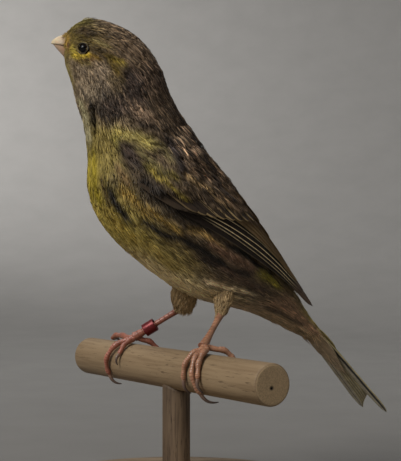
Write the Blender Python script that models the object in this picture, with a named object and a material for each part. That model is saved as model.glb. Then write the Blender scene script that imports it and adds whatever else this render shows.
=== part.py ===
"""A canary at life size, gripping a round wooden perch on a post, as a still museum model.

The bird faces -X and its left side faces -Y. The origin is under the post, at the base's underside.
Bird sizes are in millimetres in a frame of its own: its zero is on the perch's axis, midway between
the feet, and x runs to the tail, y to the bird's right and z up. add_solid turns them into metres.
"""

import math

import bmesh
import bpy
import numpy as np

MM = 0.001
GAP = 0.3

# The stand, in millimetres
PERCH_DIAMETER = 12.0
PERCH_LENGTH = 106.0
PERCH_SHIFT = 2.7
PERCH_TURN = math.radians(5.6)
POST_DIAMETER = 8.4
BASE_DIAMETER = 92.0
BASE_THICKNESS = 8.0
PERCH_ABOVE_BASE = 34.0
EDGE_ROUNDING = 0.8
BIRD_FROM_POST = 3.8

# The bird's outline from bill to tail: back x, back z, belly x, belly z, half width, turn in degrees
BODY = {
    "bill root": (-32.9, 101.0, -33.5, 93.8, 3.3, 30),
    "brow": (-30.9, 103.6, -33.1, 91.6, 5.2, 30),
    "eye": (-26.4, 105.7, -32.4, 89.3, 7.0, 30),
    "crown": (-20.0, 104.9, -31.3, 86.4, 8.3, 29),
    "nape": (-11.4, 100.4, -30.3, 82.3, 9.6, 25),
    "upper neck": (-4.8, 92.0, -29.1, 77.4, 11.0, 17),
    "lower neck": (-0.8, 82.4, -27.8, 71.5, 12.6, 8),
    "mantle": (6.0, 72.2, -27.0, 63.5, 15.2, 2),
    "breast": (14.4, 61.8, -26.4, 54.0, 17.2, 0),
    "full breast": (21.6, 52.6, -22.6, 44.6, 17.8, 0),
    "belly": (28.6, 43.6, -12.6, 34.4, 17.0, 0),
    "lower belly": (34.8, 35.4, 0.6, 25.2, 15.0, 0),
    "vent": (40.0, 27.8, 14.4, 20.2, 11.6, 0),
    "rump": (44.6, 21.0, 28.0, 16.8, 8.4, 0),
    "tail coverts": (48.6, 15.2, 40.0, 11.6, 6.2, 0),
    "tail root": (52.6, 10.6, 48.6, 7.4, 4.8, 0),
}
TURN_PIVOT_X = -20.0
RINGS_PER_STATION = 3
RING_SIDES = 28
NECK_CUT = 4.6
SHOULDER_CUT = 6.9
RUMP_CUT = 12.5

# The head's features, in the frame of the unturned head
EYE_PLACE = (-27.0, 95.8)
EYE_FORWARD_AIM = math.radians(22)
EYEBALL_RADIUS = 1.85
EYE_DEPTH = 1.25
LID_RADIUS = 2.0
LID_THICKNESS = 0.56
LID_STAND = 0.25
LID_SIDES = 16
BILL_ROOT_X = -33.7
BILL_LENGTH = 4.0
BILL_LINE_Z = 97.3
BILL_RISE = 1.1
CULMEN_HEIGHT = 3.6
CULMEN_FULLNESS = 0.56
HOOK = 0.2
JAW_DEPTH = 3.0
JAW_FULLNESS = 0.9
JAW_SHORTER = 0.5
JAW_NARROWER = 0.4
BILL_HALF_WIDTH = 3.1
# Ahead of the bill's root, to each side, and over the mouth's line
NOSTRIL_PLACE = (0.75, 1.85, 2.5)
NOSTRIL_RADIUS = 0.42

# The folded wing: a straight line from the wrist to the tip, and what stands off it
WRIST = np.array([-20.0, 62.0])
WING_TIP = np.array([45.3, 19.3])
WING_LENGTH = float(np.linalg.norm(WING_TIP - WRIST))
# Along the wing, lower edge, upper edge, lateral reach below, lateral reach above
WING = np.array(
    [
        (-5.0, 1.0, 12.5, 11.0, 6.0),
        (6.0, -2.4, 14.6, 16.8, 5.5),
        (20.0, -2.4, 16.0, 19.0, 4.6),
        (34.0, -1.4, 14.8, 18.9, 3.6),
        (48.0, -0.8, 11.4, 16.2, 3.2),
        (60.0, 0.2, 7.2, 12.6, 4.0),
        (70.0, 0.9, 3.6, 9.6, 6.2),
        (79.0, -0.4, 0.8, 8.0, 7.4),
        (82.0, -1.1, -0.2, 7.4, 7.0),
    ]
)
VANE_THICKNESS = 0.5
VANE_TILT = 0.24
# The seven longest feathers' tips, from the lowest up: distance along the wing and share of the way across
PRIMARY_TIPS = ((78.0, 0.2), (79.4, 0.34), (77.0, 0.5), (73.4, 0.6), (69.2, 0.66), (65.4, 0.7), (61.8, 0.74))
PRIMARY_ROOT = (18.0, 0.04)
PRIMARY_ROOT_STEP = (0.8, 0.035)
PRIMARY_WIDTH = 4.3
PRIMARY_LIFT = (-0.8, 0.04)
# Feathers in a tier, the first root (along, share across), the step to the next, the first tip, the step to
# the next, feather width, lift at the root and at the tip, the step of the tip's lift
WING_TIERS = {
    "secondary": (5, (18.0, 0.28), (1.0, 0.07), (60.2, 0.76), (-1.1, 0.045), 4.8, (-0.7, 0.15), 0.0),
    "tertial": (3, (20.0, 0.6), (-2.0, 0.09), (53.4, 0.88), (-5.6, 0.05), 6.0, (-0.5, 0.45), 0.25),
    "greater": (6, (13.0, 0.14), (0.8, 0.12), (33.0, 0.17), (1.7, 0.13), 6.2, (-0.9, 0.9), 0.0),
    "primary_covert": (3, (14.0, 0.0), (1.0, 0.03), (31.0, 0.03), (3.4, 0.05), 3.6, (-1.8, 0.8), 0.0),
    "median": (5, (6.0, 0.12), (0.8, 0.15), (20.0, 0.14), (1.8, 0.16), 6.6, (-1.0, 1.2), 0.0),
    "lesser": (2, (1.5, 0.1), (0.6, 0.18), (11.0, 0.08), (1.2, 0.19), 6.6, (-1.8, 1.0), 0.0),
}
# How each tier's feathers are shaped: rows of points, where the tip's rounding starts, width at the root
FEATHER_SHAPES = {
    "primary": (6, 0.76, 0.6),
    "secondary": (4, 0.8, 0.6),
    "tertial": (5, 0.72, 0.6),
    "greater": (4, 0.6, 0.8),
    "primary_covert": (4, 0.72, 0.6),
    "median": (4, 0.5, 0.8),
    "lesser": (4, 0.4, 0.7),
}
# The arm inside the wing: rows along it, and shares of the way across
ARM_ALONG = (-5.0, -4.0, -1.5, 3.0, 9.0, 16.0, 24.0, 33.0, 42.0)
ARM_SHARES = (-0.16, -0.09, 0.04, 0.22, 0.42, 0.62, 0.82, 0.97)
ARM_LIFT = (-2.6, 2.3)
ARM_INSIDE = -5.0

# The tail, a straight fan of twelve feathers with a shallow fork
TAIL_START = np.array([47.0, 14.6])
TAIL_END = np.array([75.5, -16.1])
TAIL_PAIRS = 6
TAIL_FEATHER_WIDTH = 5.4
TAIL_HALF_SPREAD = (2.2, 4.8)
TAIL_FORK = 4.6
TAIL_STEP = 0.34
TAIL_ROOF = 0.08
# Where the tail's root block starts, its length, half width and half depth at its two ends
TAIL_BLOCK = (6.6, 10.0, (4.4, 4.8), (2.0, 0.7))
# The coverts over and under the tail's root: length, the step to the next pair, and height
TAIL_COVERTS = {"over": (21.0, -3.0, 1.3, 1.2, 0.1), "under": (25.0, -4.0, -1.3, -1.3, 0.0)}
TAIL_COVERT_WIDTH = 5.0
TAIL_FEATHER_START = 8.0

# Legs: heel place, foot place along the perch, and each toe's route round it
HEELS = {"left": (12.0, -11.6, 17.6), "right": (11.6, 12.2, 18.4)}
FOOT_SPOT = {"left": 21.4, "right": -21.4}
ANKLE = {"left": (-0.8, 6.0), "right": (0.0, -2.0)}
THIGH_TOP = (10.5, 5.8, 32.0)
THIGH_BOW = 0.8
THIGH_RADII = (3.2, 3.5, 3.8, 4.0, 4.1, 4.1, 3.9, 3.2, 2.1)
TARSUS_RADIUS = 1.05
TARSUS_WAIST = 0.3
SCUTES = 9
TOE_RADIUS = 0.95
TOE_TAPER = 0.28
CLAW_RADIUS = 0.5
CLAW_POINT = 0.12
# Toe: shift along the perch at root and tip, angle round it at root and tip, the claw's further angle and
# shift, and how far the toe arches off the perch
TOES = {
    "left": {
        "inner": (-0.6, -2.4, 2, 100, 38, 0.4, 0.3),
        "middle": (0.2, 3.6, 4, 128, 43, 2.2, 0.4),
        "outer": (1.0, 5.4, 0, 92, 34, 1.0, 0.3),
        "hind": (0.2, 3.6, -8, -84, -50, 1.0, 1.3),
    },
    "right": {
        "inner": (0.6, 0.8, 2, 62, 28, 0.4, 0.3),
        "middle": (-0.6, -6.4, 6, 124, 36, 1.8, 0.4),
        "outer": (-1.2, -18.6, 0, -20, -30, -2.0, 0.9),
        "hind": (0.2, 3.2, -8, -88, -52, 1.6, 0.9),
    },
}
BAND_RADIUS = 2.1
BAND_WALL = 0.45
BAND_HEIGHT = 4.0
BAND_EASING = 0.15
BAND_SIDES = 24
BAND_FROM_FOOT = 5.4

PLUMAGE_BROWN = (0.085, 0.062, 0.042)
PLUMAGE_YELLOW = (0.30, 0.26, 0.045)
PLUMAGE_GREY = (0.20, 0.17, 0.12)
HORN_PINK = (0.62, 0.42, 0.28)
SKIN_PINK = (0.48, 0.22, 0.15)
CLAW_GREY = (0.20, 0.13, 0.11)
EYE_BLACK = (0.01, 0.008, 0.008)
BAND_RED = (0.30, 0.015, 0.02)
WOOD_PALE = (0.50, 0.36, 0.21)


def make_material(name, colour, roughness, metallic=0.0):
    """A Principled material of one colour."""
    material = bpy.data.materials.new(name)
    material.use_nodes = True
    shader = material.node_tree.nodes["Principled BSDF"]
    shader.inputs["Base Color"].default_value = (*colour, 1.0)
    shader.inputs["Roughness"].default_value = roughness
    shader.inputs["Metallic"].default_value = metallic
    material.diffuse_color = (*colour, 1.0)
    return material


def add_solid(name, points, faces, material=None, parent=None):
    """A mesh object from points in millimetres, with its faces turned outwards."""
    mesh = bpy.data.meshes.new(name)
    mesh.from_pydata((np.asarray(points) * MM).tolist(), [], [tuple(f) for f in faces])
    work = bmesh.new()
    work.from_mesh(mesh)
    bmesh.ops.recalc_face_normals(work, faces=work.faces)
    work.to_mesh(mesh)
    work.free()
    solid = bpy.data.objects.new(name, mesh)
    bpy.context.scene.collection.objects.link(solid)
    solid.parent = parent
    if material:
        mesh.materials.append(material)
    return solid


def ring_faces(rings, sides):
    """Quads between closed rings of points, and a flat cap on the first and the last ring."""
    faces = []
    for ring in range(rings - 1):
        for side in range(sides):
            after = (side + 1) % sides
            faces.append(
                (
                    ring * sides + side,
                    ring * sides + after,
                    (ring + 1) * sides + after,
                    (ring + 1) * sides + side,
                )
            )
    faces.append(tuple(range(sides)))
    faces.append(tuple((rings - 1) * sides + side for side in range(sides)))
    return faces


def smooth_table(table, where):
    """Rows of the table read at fractional row numbers, on a Catmull-Rom curve through the rows."""
    where = np.clip(np.asarray(where, float), 0, len(table) - 1)
    row = np.minimum(where.astype(int), len(table) - 2)
    part = (where - row)[..., None]
    before = table[np.maximum(row - 1, 0)]
    first = table[row]
    second = table[row + 1]
    after = table[np.minimum(row + 2, len(table) - 1)]
    return 0.5 * (
        2 * first
        + (second - before) * part
        + (2 * before - 5 * first + 4 * second - after) * part**2
        + (3 * first - before - 3 * second + after) * part**3
    )


def along_path(path, radii, sides, flatten=1.0, start=None):
    """Rings round a path of points, each ring square to the path. flatten scales the ring's height."""
    path = np.asarray(path, float)
    tangents = np.gradient(path, axis=0)
    tangents /= np.linalg.norm(tangents, axis=1)[:, None]
    up = np.array(start if start is not None else (0.0, 0.0, 1.0))
    rings = []
    for point, tangent, radius in zip(path, tangents, radii):
        up = up - tangent * (up @ tangent)
        up /= np.linalg.norm(up)
        side = np.cross(tangent, up)
        angles = np.arange(sides) * 2 * math.pi / sides
        rings.append(
            point
            + radius * np.cos(angles)[:, None] * up * flatten
            + radius * np.sin(angles)[:, None] * side
        )
    return np.concatenate(rings)


def ball(name, centre, radius, segments=20, material=None, parent=None):
    """A UV sphere."""
    work = bmesh.new()
    bmesh.ops.create_uvsphere(work, u_segments=segments, v_segments=segments // 2, radius=radius * MM)
    bmesh.ops.translate(work, verts=work.verts, vec=[c * MM for c in centre])
    mesh = bpy.data.meshes.new(name)
    work.to_mesh(mesh)
    work.free()
    solid = bpy.data.objects.new(name, mesh)
    bpy.context.scene.collection.objects.link(solid)
    solid.parent = parent
    if material:
        mesh.materials.append(material)
    return solid


def keep_largest_surface(mesh):
    """Deletes every closed surface of the mesh but the one that holds the most volume."""
    work = bmesh.new()
    work.from_mesh(mesh)
    bmesh.ops.triangulate(work, faces=work.faces)
    unseen = set(work.faces)
    surfaces = []
    while unseen:
        reached = [unseen.pop()]
        surface = []
        while reached:
            face = reached.pop()
            surface.append(face)
            for edge in face.edges:
                for other in edge.link_faces:
                    if other in unseen:
                        unseen.remove(other)
                        reached.append(other)
        surfaces.append(surface)

    def volume(surface):
        corners = np.array([[v.co for v in face.verts] for face in surface])
        return abs(np.linalg.det(corners).sum())

    largest = max(surfaces, key=volume)
    scraps = [face for surface in surfaces if surface is not largest for face in surface]
    bmesh.ops.delete(work, geom=scraps, context="FACES")
    work.to_mesh(mesh)
    work.free()


def join(solid, pieces, operation="UNION", solver="MANIFOLD"):
    """Joins closed pieces to a solid, or cuts them from it, in one Boolean that is then applied."""
    group = bpy.data.collections.new(solid.name + "_pieces")
    bpy.context.scene.collection.children.link(group)
    for piece in pieces:
        group.objects.link(piece)
    modifier = solid.modifiers.new("pieces", "BOOLEAN")
    modifier.operation = operation
    modifier.solver = solver
    modifier.operand_type = "COLLECTION"
    modifier.collection = group
    bpy.context.view_layer.update()
    graph = bpy.context.evaluated_depsgraph_get()
    joined = bpy.data.meshes.new_from_object(solid.evaluated_get(graph))
    solid.modifiers.clear()
    old = solid.data
    solid.data = joined
    joined.name = old.name
    bpy.data.meshes.remove(old)
    for piece in pieces:
        bpy.data.objects.remove(piece)
    bpy.data.collections.remove(group)
    keep_largest_surface(solid.data)
    return solid


def mirrored(name, solid):
    """A copy of a left piece for the right side, turned inside out by the mirror and put right."""
    twin = bpy.data.objects.new(name, solid.data.copy())
    bpy.context.scene.collection.objects.link(twin)
    twin.parent = solid.parent
    work = bmesh.new()
    work.from_mesh(twin.data)
    bmesh.ops.scale(work, vec=(1, -1, 1), verts=work.verts)
    bmesh.ops.reverse_faces(work, faces=work.faces)
    work.to_mesh(twin.data)
    work.free()
    return twin


# Body

BODY_TABLE = np.array(list(BODY.values()), float)


def turned(points, degrees):
    """Points of the unturned head or neck, turned to the bird's right about the neck."""
    angle = np.radians(np.asarray(degrees, float))
    points = np.array(points, float)
    x = points[..., 0] - TURN_PIVOT_X
    y = points[..., 1]
    points[..., 0] = TURN_PIVOT_X + x * np.cos(angle) + y * np.sin(angle)
    points[..., 1] = -x * np.sin(angle) + y * np.cos(angle)
    return points


def body_ring(station, spread=0.0):
    """One ring of the body: an ellipse from the back to the belly, spread outwards by so many millimetres."""
    back_x, back_z, belly_x, belly_z, half_width, turn = smooth_table(BODY_TABLE, station)
    centre = np.array([back_x + belly_x, 0.0, back_z + belly_z]) / 2
    to_back = np.array([back_x - belly_x, 0.0, back_z - belly_z]) / 2
    half_depth = np.linalg.norm(to_back)
    to_back *= (half_depth + spread) / half_depth
    angles = np.arange(RING_SIDES) * 2 * math.pi / RING_SIDES
    cheek = 1 - 0.07 * np.cos(angles)
    across = np.zeros((RING_SIDES, 3))
    across[:, 1] = (half_width + spread) * np.sin(angles) * cheek
    return turned(centre + np.cos(angles)[:, None] * to_back + across, turn)


def body_length(first, last, spread=0.0):
    """Points and faces of the body from one station to another."""
    count = max(2, round((last - first) * RINGS_PER_STATION) + 1)
    rings = [body_ring(station, spread) for station in np.linspace(first, last, count)]
    return np.concatenate(rings), ring_faces(count, RING_SIDES)


def body_side(x, z):
    """How far the body reaches sideways at a place of its unturned side view, and the station there."""
    stations = np.linspace(0, len(BODY_TABLE) - 1, 600)
    back_x, back_z, belly_x, belly_z, half_width, _ = smooth_table(BODY_TABLE, stations).T
    side_of_chord = (belly_x - back_x) * (z - back_z) - (belly_z - back_z) * (x - back_x)
    here = int(np.argmax(side_of_chord > 0)) if side_of_chord[0] <= 0 else int(np.argmax(side_of_chord < 0))
    chord = np.array([belly_x[here] - back_x[here], belly_z[here] - back_z[here]])
    share = np.array([x - back_x[here], z - back_z[here]]) @ chord / (chord @ chord)
    reach = half_width[here] * math.sqrt(max(0.0, 1 - (2 * share - 1) ** 2))
    return reach, stations[here]


def build_body(parent, plumage, yellow):
    """Neck, torso and rump, parted from one body by thin cuts."""
    half_cut = 0.02
    add_solid("neck", *body_length(NECK_CUT + half_cut, SHOULDER_CUT - half_cut), plumage, parent)
    add_solid("torso", *body_length(SHOULDER_CUT + half_cut, RUMP_CUT - half_cut), yellow, parent)
    add_solid("rump", *body_length(RUMP_CUT + half_cut, len(BODY_TABLE) - 1.06), plumage, parent)
    return body_length(0, NECK_CUT - half_cut)


# Head


def eye_frame(side):
    """The eyeball's centre and the direction that it looks in. side is -1 for left and 1 for right."""
    reach, station = body_side(*EYE_PLACE)
    turn = smooth_table(BODY_TABLE, station)[5]
    aim = np.array([-math.sin(EYE_FORWARD_AIM), side * math.cos(EYE_FORWARD_AIM), 0.03])
    aim /= np.linalg.norm(aim)
    surface = np.array([EYE_PLACE[0], side * reach, EYE_PLACE[1]])
    centre = surface - aim * EYE_DEPTH
    return turned(centre, turn), turned(centre + aim, turn) - turned(centre, turn)


def lid_ring(name, centre, aim):
    """A thin ring of bare lid that stands round the eye."""
    up = np.array([0.0, 0.0, 1.0])
    side = np.cross(aim, up)
    side /= np.linalg.norm(side)
    up = np.cross(side, aim)
    angles = np.arange(LID_SIDES) * 2 * math.pi / LID_SIDES
    around = np.arange(4) * 2 * math.pi / 4
    points = []
    for angle in angles:
        outwards = math.cos(angle) * side + math.sin(angle) * up
        middle = centre + aim * (EYE_DEPTH + LID_STAND) + outwards * LID_RADIUS
        for turn in around:
            points.append(
                middle
                + outwards * math.cos(turn) * LID_THICKNESS / 2
                + aim * math.sin(turn) * LID_THICKNESS / 2
            )
    count, sides = len(angles), len(around)
    faces = []
    for ring in range(count):
        after = (ring + 1) % count
        for turn in range(sides):
            beyond = (turn + 1) % sides
            faces.append(
                (
                    ring * sides + turn,
                    ring * sides + beyond,
                    after * sides + beyond,
                    after * sides + turn,
                )
            )
    return add_solid(name, points, faces)


def build_head(parent, points, faces, plumage, eye_material):
    """The head with its sockets and lids, and the two eyeballs."""
    head = add_solid("head", points, faces, plumage)
    sockets = []
    lids = []
    for side, name in ((-1, "left"), (1, "right")):
        centre, aim = eye_frame(side)
        sockets.append(ball("socket", centre, EYEBALL_RADIUS + GAP, 14))
        lids.append(lid_ring("lid", centre, aim))
        ball("eye_" + name, centre, EYEBALL_RADIUS, 16, eye_material, parent)
    join(head, lids)
    join(head, sockets, "DIFFERENCE")
    head.parent = parent


def bill_half(name, height, width, length, droop, fullness, material, parent):
    """One half of the bill: D-shaped rings that shrink from the root to the tip, which is a little raised.
    height is signed."""
    shares = np.array([0.0, 0.12, 0.3, 0.5, 0.7, 0.86, 0.96, 1.0])
    angles = np.linspace(0, math.pi, 13)
    rings = []
    for share in shares:
        left_over = 1 - share
        tall = height * max(left_over, 0.02) ** fullness
        wide = width * max(left_over, 0.02) ** 0.6
        line_z = BILL_LINE_Z + math.copysign(GAP / 2, height) + BILL_RISE * share - droop * share**2
        x = BILL_ROOT_X - length * share
        ring = np.stack(
            [
                np.full(13, x),
                wide * np.cos(angles),
                line_z + tall * np.sin(angles),
            ],
            axis=1,
        )
        rings.append(ring)
    points = turned(np.concatenate(rings), BODY_TABLE[0, 5])
    return add_solid(name, points, ring_faces(len(shares), 13), material, parent)


def build_bill(parent, horn):
    """Upper and lower bill, with the mouth line between them and a nostril on each side."""
    upper = bill_half(
        "upper_bill", CULMEN_HEIGHT, BILL_HALF_WIDTH, BILL_LENGTH, HOOK, CULMEN_FULLNESS, horn, None
    )
    nostrils = []
    for side in (-1, 1):
        ahead, aside, above = NOSTRIL_PLACE
        place = (BILL_ROOT_X - ahead, side * aside, BILL_LINE_Z + above)
        nostrils.append(ball("nostril", turned(place, BODY_TABLE[0, 5]), NOSTRIL_RADIUS, 8))
    join(upper, nostrils, "DIFFERENCE")
    upper.parent = parent
    width, length = BILL_HALF_WIDTH - JAW_NARROWER, BILL_LENGTH - JAW_SHORTER
    bill_half("lower_bill", -JAW_DEPTH, width, length, 0.0, JAW_FULLNESS, horn, parent)


# Wings


def wing_line(along):
    """Lower edge, upper edge and lateral reaches of the wing at distances from the wrist."""
    row = np.interp(along, WING[:, 0], np.arange(len(WING)))
    return np.moveaxis(smooth_table(WING, row), -1, 0)[1:]


def wing_arc(along):
    """Length across the wing, from its lower edge to its upper edge."""
    lower, upper, below, above = wing_line(along)
    return math.pi / 2 * np.sqrt(((upper - lower) ** 2 + (below - above) ** 2) / 2)


def wing_point(along, across, lift):
    """A point of the left wing. Across runs in millimetres from the lower edge, round a quarter ellipse
    and straight on past its two ends. Lift is the height over it."""
    lower, upper, below, above = wing_line(along)
    height = upper - lower
    reach = below - above
    arc = wing_arc(along)
    inside = np.clip(across, 0, arc)
    angle = inside / arc * math.pi / 2
    steep = np.hypot(height * np.cos(angle), reach * np.sin(angle))
    out = height * np.cos(angle) / steep
    over = reach * np.sin(angle) / steep
    lateral = above + reach * np.cos(angle) + lift * out - (across - inside) * over
    rise = lower + height * np.sin(angle) + lift * over + (across - inside) * out
    chord = (WING_TIP - WRIST) / WING_LENGTH
    x = WRIST[0] + chord[0] * along - chord[1] * rise
    z = WRIST[1] + chord[1] * along + chord[0] * rise
    return np.stack([x, -lateral, z], axis=-1)


def feather_outline(share, root_width, blunt):
    """Width of a feather along its length, as a share of its widest: it swells from the root, and rounds
    off over the last part, blunt being where that part starts."""
    swell = root_width + (1 - root_width) * np.clip(share / 0.3, 0, 1) ** 0.6
    past = np.clip((share - blunt) / (1 - blunt), 0, 1)
    return swell * np.sqrt(np.maximum(1 - past**2, 0.02))


def plate(centre_line, half_widths, thickness, to_space, tilt=0.0):
    """A closed thin vane. centre_line holds (along, across, lift) rows and to_space maps such rows to
    points. Both faces are split into like triangles."""
    rows = len(centre_line)
    corners = []
    for edge, level in ((-1, 0.5), (1, 0.5), (1, -0.5), (-1, -0.5)):
        thin = thickness * np.linspace(1.0, 0.7, rows)
        corners.append(
            to_space(centre_line, edge * half_widths, level * thin - tilt * edge * half_widths)
        )
    points = np.stack(corners, axis=1).reshape(-1, 3)
    faces = [(0, 1, 2), (0, 2, 3)]
    for row in range(rows - 1):
        here, there = row * 4, (row + 1) * 4
        for side in range(4):
            after = (side + 1) % 4
            a, b, c, d = here + side, here + after, there + after, there + side
            faces += [(a, b, c), (a, c, d)] if side != 2 else [(a, b, d), (b, c, d)]
    last = (rows - 1) * 4
    faces += [(last, last + 2, last + 1), (last, last + 3, last + 2)]
    return points, faces


def wing_feather(name, root, tip, width, lift, rows=5, blunt=0.72, root_width=0.6):
    """One vane of the wing, from (along, share of the way across) at its root to the same at its tip."""
    share = np.linspace(0, 1, rows) ** 0.9
    along = root[0] + (tip[0] - root[0]) * share
    across = (root[1] + (tip[1] - root[1]) * share**1.25) * wing_arc(along)
    line = np.stack([along, across, np.linspace(lift[0], lift[1], rows)], axis=1)
    halves = width / 2 * feather_outline(share, root_width, blunt)

    def to_space(centre_line, sideways, level):
        return wing_point(centre_line[:, 0], centre_line[:, 1] + sideways, centre_line[:, 2] + level)

    return add_solid(name, *plate(line, halves, VANE_THICKNESS, to_space, VANE_TILT))


def wing_core():
    """The feathered arm inside the folded wing. Its lower part lies in the torso and is cut away."""
    along = np.array(ARM_ALONG)
    shares = np.array(ARM_SHARES)
    a, part = np.meshgrid(along, shares, indexing="ij")
    part = part + (1 - part) * 0.3 * np.clip((a - 20) / 22, 0, 1)
    from_front = np.clip((a - along[0]) / 9.0, 0, 1)
    to_rear = np.clip((along[-1] - a) / 16.0, 0, 1)
    from_below = np.clip((shares - shares[0]) / 0.2, 0, 1)
    from_above = np.clip((shares[-1] - shares) / 0.2, 0, 1)
    rise = (from_front * from_below * from_above * to_rear) ** 0.4
    outer = wing_point(a, part * wing_arc(a), ARM_LIFT[0] + ARM_LIFT[1] * rise)
    inner = wing_point(a, part * wing_arc(a), ARM_INSIDE)
    rows, columns = a.shape
    points = np.concatenate([outer.reshape(-1, 3), inner.reshape(-1, 3)])
    faces = []
    under = rows * columns
    for r in range(rows - 1):
        for c in range(columns - 1):
            i = r * columns + c
            faces.append((i, i + 1, i + columns + 1, i + columns))
            faces.append((under + i, under + i + columns, under + i + columns + 1, under + i + 1))
    rim = [c for c in range(columns)]
    rim += [r * columns + columns - 1 for r in range(1, rows)]
    rim += [(rows - 1) * columns + c for c in range(columns - 2, -1, -1)]
    rim += [r * columns for r in range(rows - 2, 0, -1)]
    for first, second in zip(rim, rim[1:] + rim[:1]):
        faces.append((first, under + first, under + second, second))
    return add_solid("core", points, faces)


def wing_feathers():
    """The left wing's tiers, from the longest flight feathers up to the lesser coverts."""
    feathers = []
    for k, tip in enumerate(PRIMARY_TIPS):
        root = (PRIMARY_ROOT[0] + PRIMARY_ROOT_STEP[0] * k, PRIMARY_ROOT[1] + PRIMARY_ROOT_STEP[1] * k)
        lift = (PRIMARY_LIFT[0], PRIMARY_LIFT[1] * k)
        name = f"primary_{k}"
        feathers.append(wing_feather(name, root, tip, PRIMARY_WIDTH, lift, *FEATHER_SHAPES["primary"]))
    for tier, (count, root, root_step, tip, tip_step, width, lift, lift_step) in WING_TIERS.items():
        for k in range(count):
            start = (root[0] + root_step[0] * k, root[1] + root_step[1] * k)
            end = (tip[0] + tip_step[0] * k, tip[1] + tip_step[1] * k)
            lifts = (lift[0], lift[1] + lift_step * k)
            name = f"{tier}_{k}"
            feathers.append(wing_feather(name, start, end, width, lifts, *FEATHER_SHAPES[tier]))
    return feathers


def build_wings(parent, plumage):
    """Both wings: core and feathers fused, and cut clear of the torso and the neck."""
    wing = wing_core()
    wing.name = "wing_left"
    wing.data.materials.append(plumage)
    join(wing, wing_feathers())
    room = add_solid("room", *body_length(5.6, len(BODY_TABLE) - 1.0, GAP))
    join(wing, [room], "DIFFERENCE")
    wing.parent = parent
    mirrored("wing_right", wing)


# Tail


def tail_point(along, across, lift):
    """A point of the tail: distance from its root, distance from its middle and height over it."""
    chord = (TAIL_END - TAIL_START) / np.linalg.norm(TAIL_END - TAIL_START)
    x = TAIL_START[0] + chord[0] * along - chord[1] * lift
    z = TAIL_START[1] + chord[1] * along + chord[0] * lift
    return np.stack([x, across, z], axis=-1)


def tail_feather(name, length, spread, width, lift, start=0.0, rows=6, blunt=0.8, roof=0.0):
    """One vane of the tail. spread is its distance from the middle at root and tip."""
    share = np.linspace(0, 1, rows)
    along = start + (length - start) * share
    middle, height = np.linspace(spread[0], spread[1], rows), np.linspace(lift[0], lift[1], rows)
    line = np.stack([along, middle, height], axis=1)
    halves = width / 2 * feather_outline(share, 0.55, blunt)

    def to_space(centre_line, across, level):
        sideways = centre_line[:, 1] + across
        return tail_point(centre_line[:, 0], sideways, centre_line[:, 2] + level - roof * np.abs(sideways))

    return add_solid(name, *plate(line, halves, VANE_THICKNESS, to_space))


def build_tail(parent, plumage):
    """The tail: a short root block, six pairs of feathers and the longest coverts over and under them."""
    length = float(np.linalg.norm(TAIL_END - TAIL_START))
    start, block_length, widths, depths = TAIL_BLOCK
    angles = np.arange(16) * 2 * math.pi / 16
    rings = []
    for part in np.linspace(0, 1, 5):
        across = np.interp(part, (0, 1), widths) * np.cos(angles)
        lift = np.interp(part, (0, 1), depths) * np.sin(angles)
        rings.append(tail_point(np.full(16, start + block_length * part), across, lift))
    tail = add_solid("tail", np.concatenate(rings), ring_faces(5, 16), plumage)
    feathers = []
    for k in range(TAIL_PAIRS):
        out = k / (TAIL_PAIRS - 1)
        root = 0.7 + TAIL_HALF_SPREAD[0] * out
        tip = 0.9 + TAIL_HALF_SPREAD[1] * out
        reach = length - TAIL_FORK * (1 - out) ** 0.8
        lift = 0.85 - TAIL_STEP * k
        for side in (-1, 1):
            feathers.append(
                tail_feather(
                    f"rectrix_{k}_{side}",
                    reach,
                    (side * root, side * tip),
                    TAIL_FEATHER_WIDTH - 0.25 * k,
                    (lift * 0.6, lift + 0.05 * side),
                    TAIL_FEATHER_START,
                    5,
                    0.84,
                    TAIL_ROOF,
                )
            )
    for k in range(2):
        for side in (-1, 1):
            place = (side * (1.2 + 1.2 * k), side * (1.4 + 1.5 * k))
            for name, (reach, step, root_lift, tip_lift, roof) in TAIL_COVERTS.items():
                lifts = (root_lift, tip_lift + 0.04 * side)
                feathers.append(
                    tail_feather(
                        f"{name}_{k}_{side}",
                        reach + step * k,
                        place,
                        TAIL_COVERT_WIDTH,
                        lifts,
                        TAIL_FEATHER_START,
                        4,
                        0.6,
                        roof,
                    )
                )
    join(tail, feathers)
    room = add_solid("room", *body_length(RUMP_CUT, len(BODY_TABLE) - 1.0, GAP))
    join(tail, [room], "DIFFERENCE")
    tail.parent = parent


# Legs


def perch_point(along, degrees, radius):
    """A point near the perch: distance along it to the bird's left, angle round it from the top towards
    the front, and distance from its axis."""
    angle = np.radians(degrees)
    forward = np.array([-math.cos(PERCH_TURN), -math.sin(PERCH_TURN), 0.0])
    left = np.array([math.sin(PERCH_TURN), -math.cos(PERCH_TURN), 0.0])
    up = np.array([0.0, 0.0, 1.0])
    along = np.asarray(along, float)[..., None]
    radius = np.asarray(radius, float)[..., None]
    return (
        along * left
        + radius * np.sin(angle)[..., None] * forward
        + radius * np.cos(angle)[..., None] * up
    )


def toe_route(spot, toe, start=0.0, end=1.0, count=2):
    """Points and half thickness of a toe that lies on the perch, with a step at each scute and a swelling
    at each pad."""
    share = np.linspace(start, end, count)
    thick = TOE_RADIUS * (1 - TOE_TAPER * share)
    swelling = 1 + 0.09 * np.cos(share * 3.2 * 2 * math.pi)
    step = np.where(np.arange(count) % 2 == 0, 1.05, 0.93)
    radius = thick * swelling * step
    along = spot + toe[0] + (toe[1] - toe[0]) * np.sin(share * math.pi / 2)
    degrees = toe[2] + (toe[3] - toe[2]) * share
    arch = toe[6] * np.sin(share * math.pi) ** 1.5
    clear = PERCH_DIAMETER / 2 + GAP + 1.14 * thick + 0.5 * (1 - share) ** 2 + arch
    return perch_point(along, degrees, clear), radius


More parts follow.
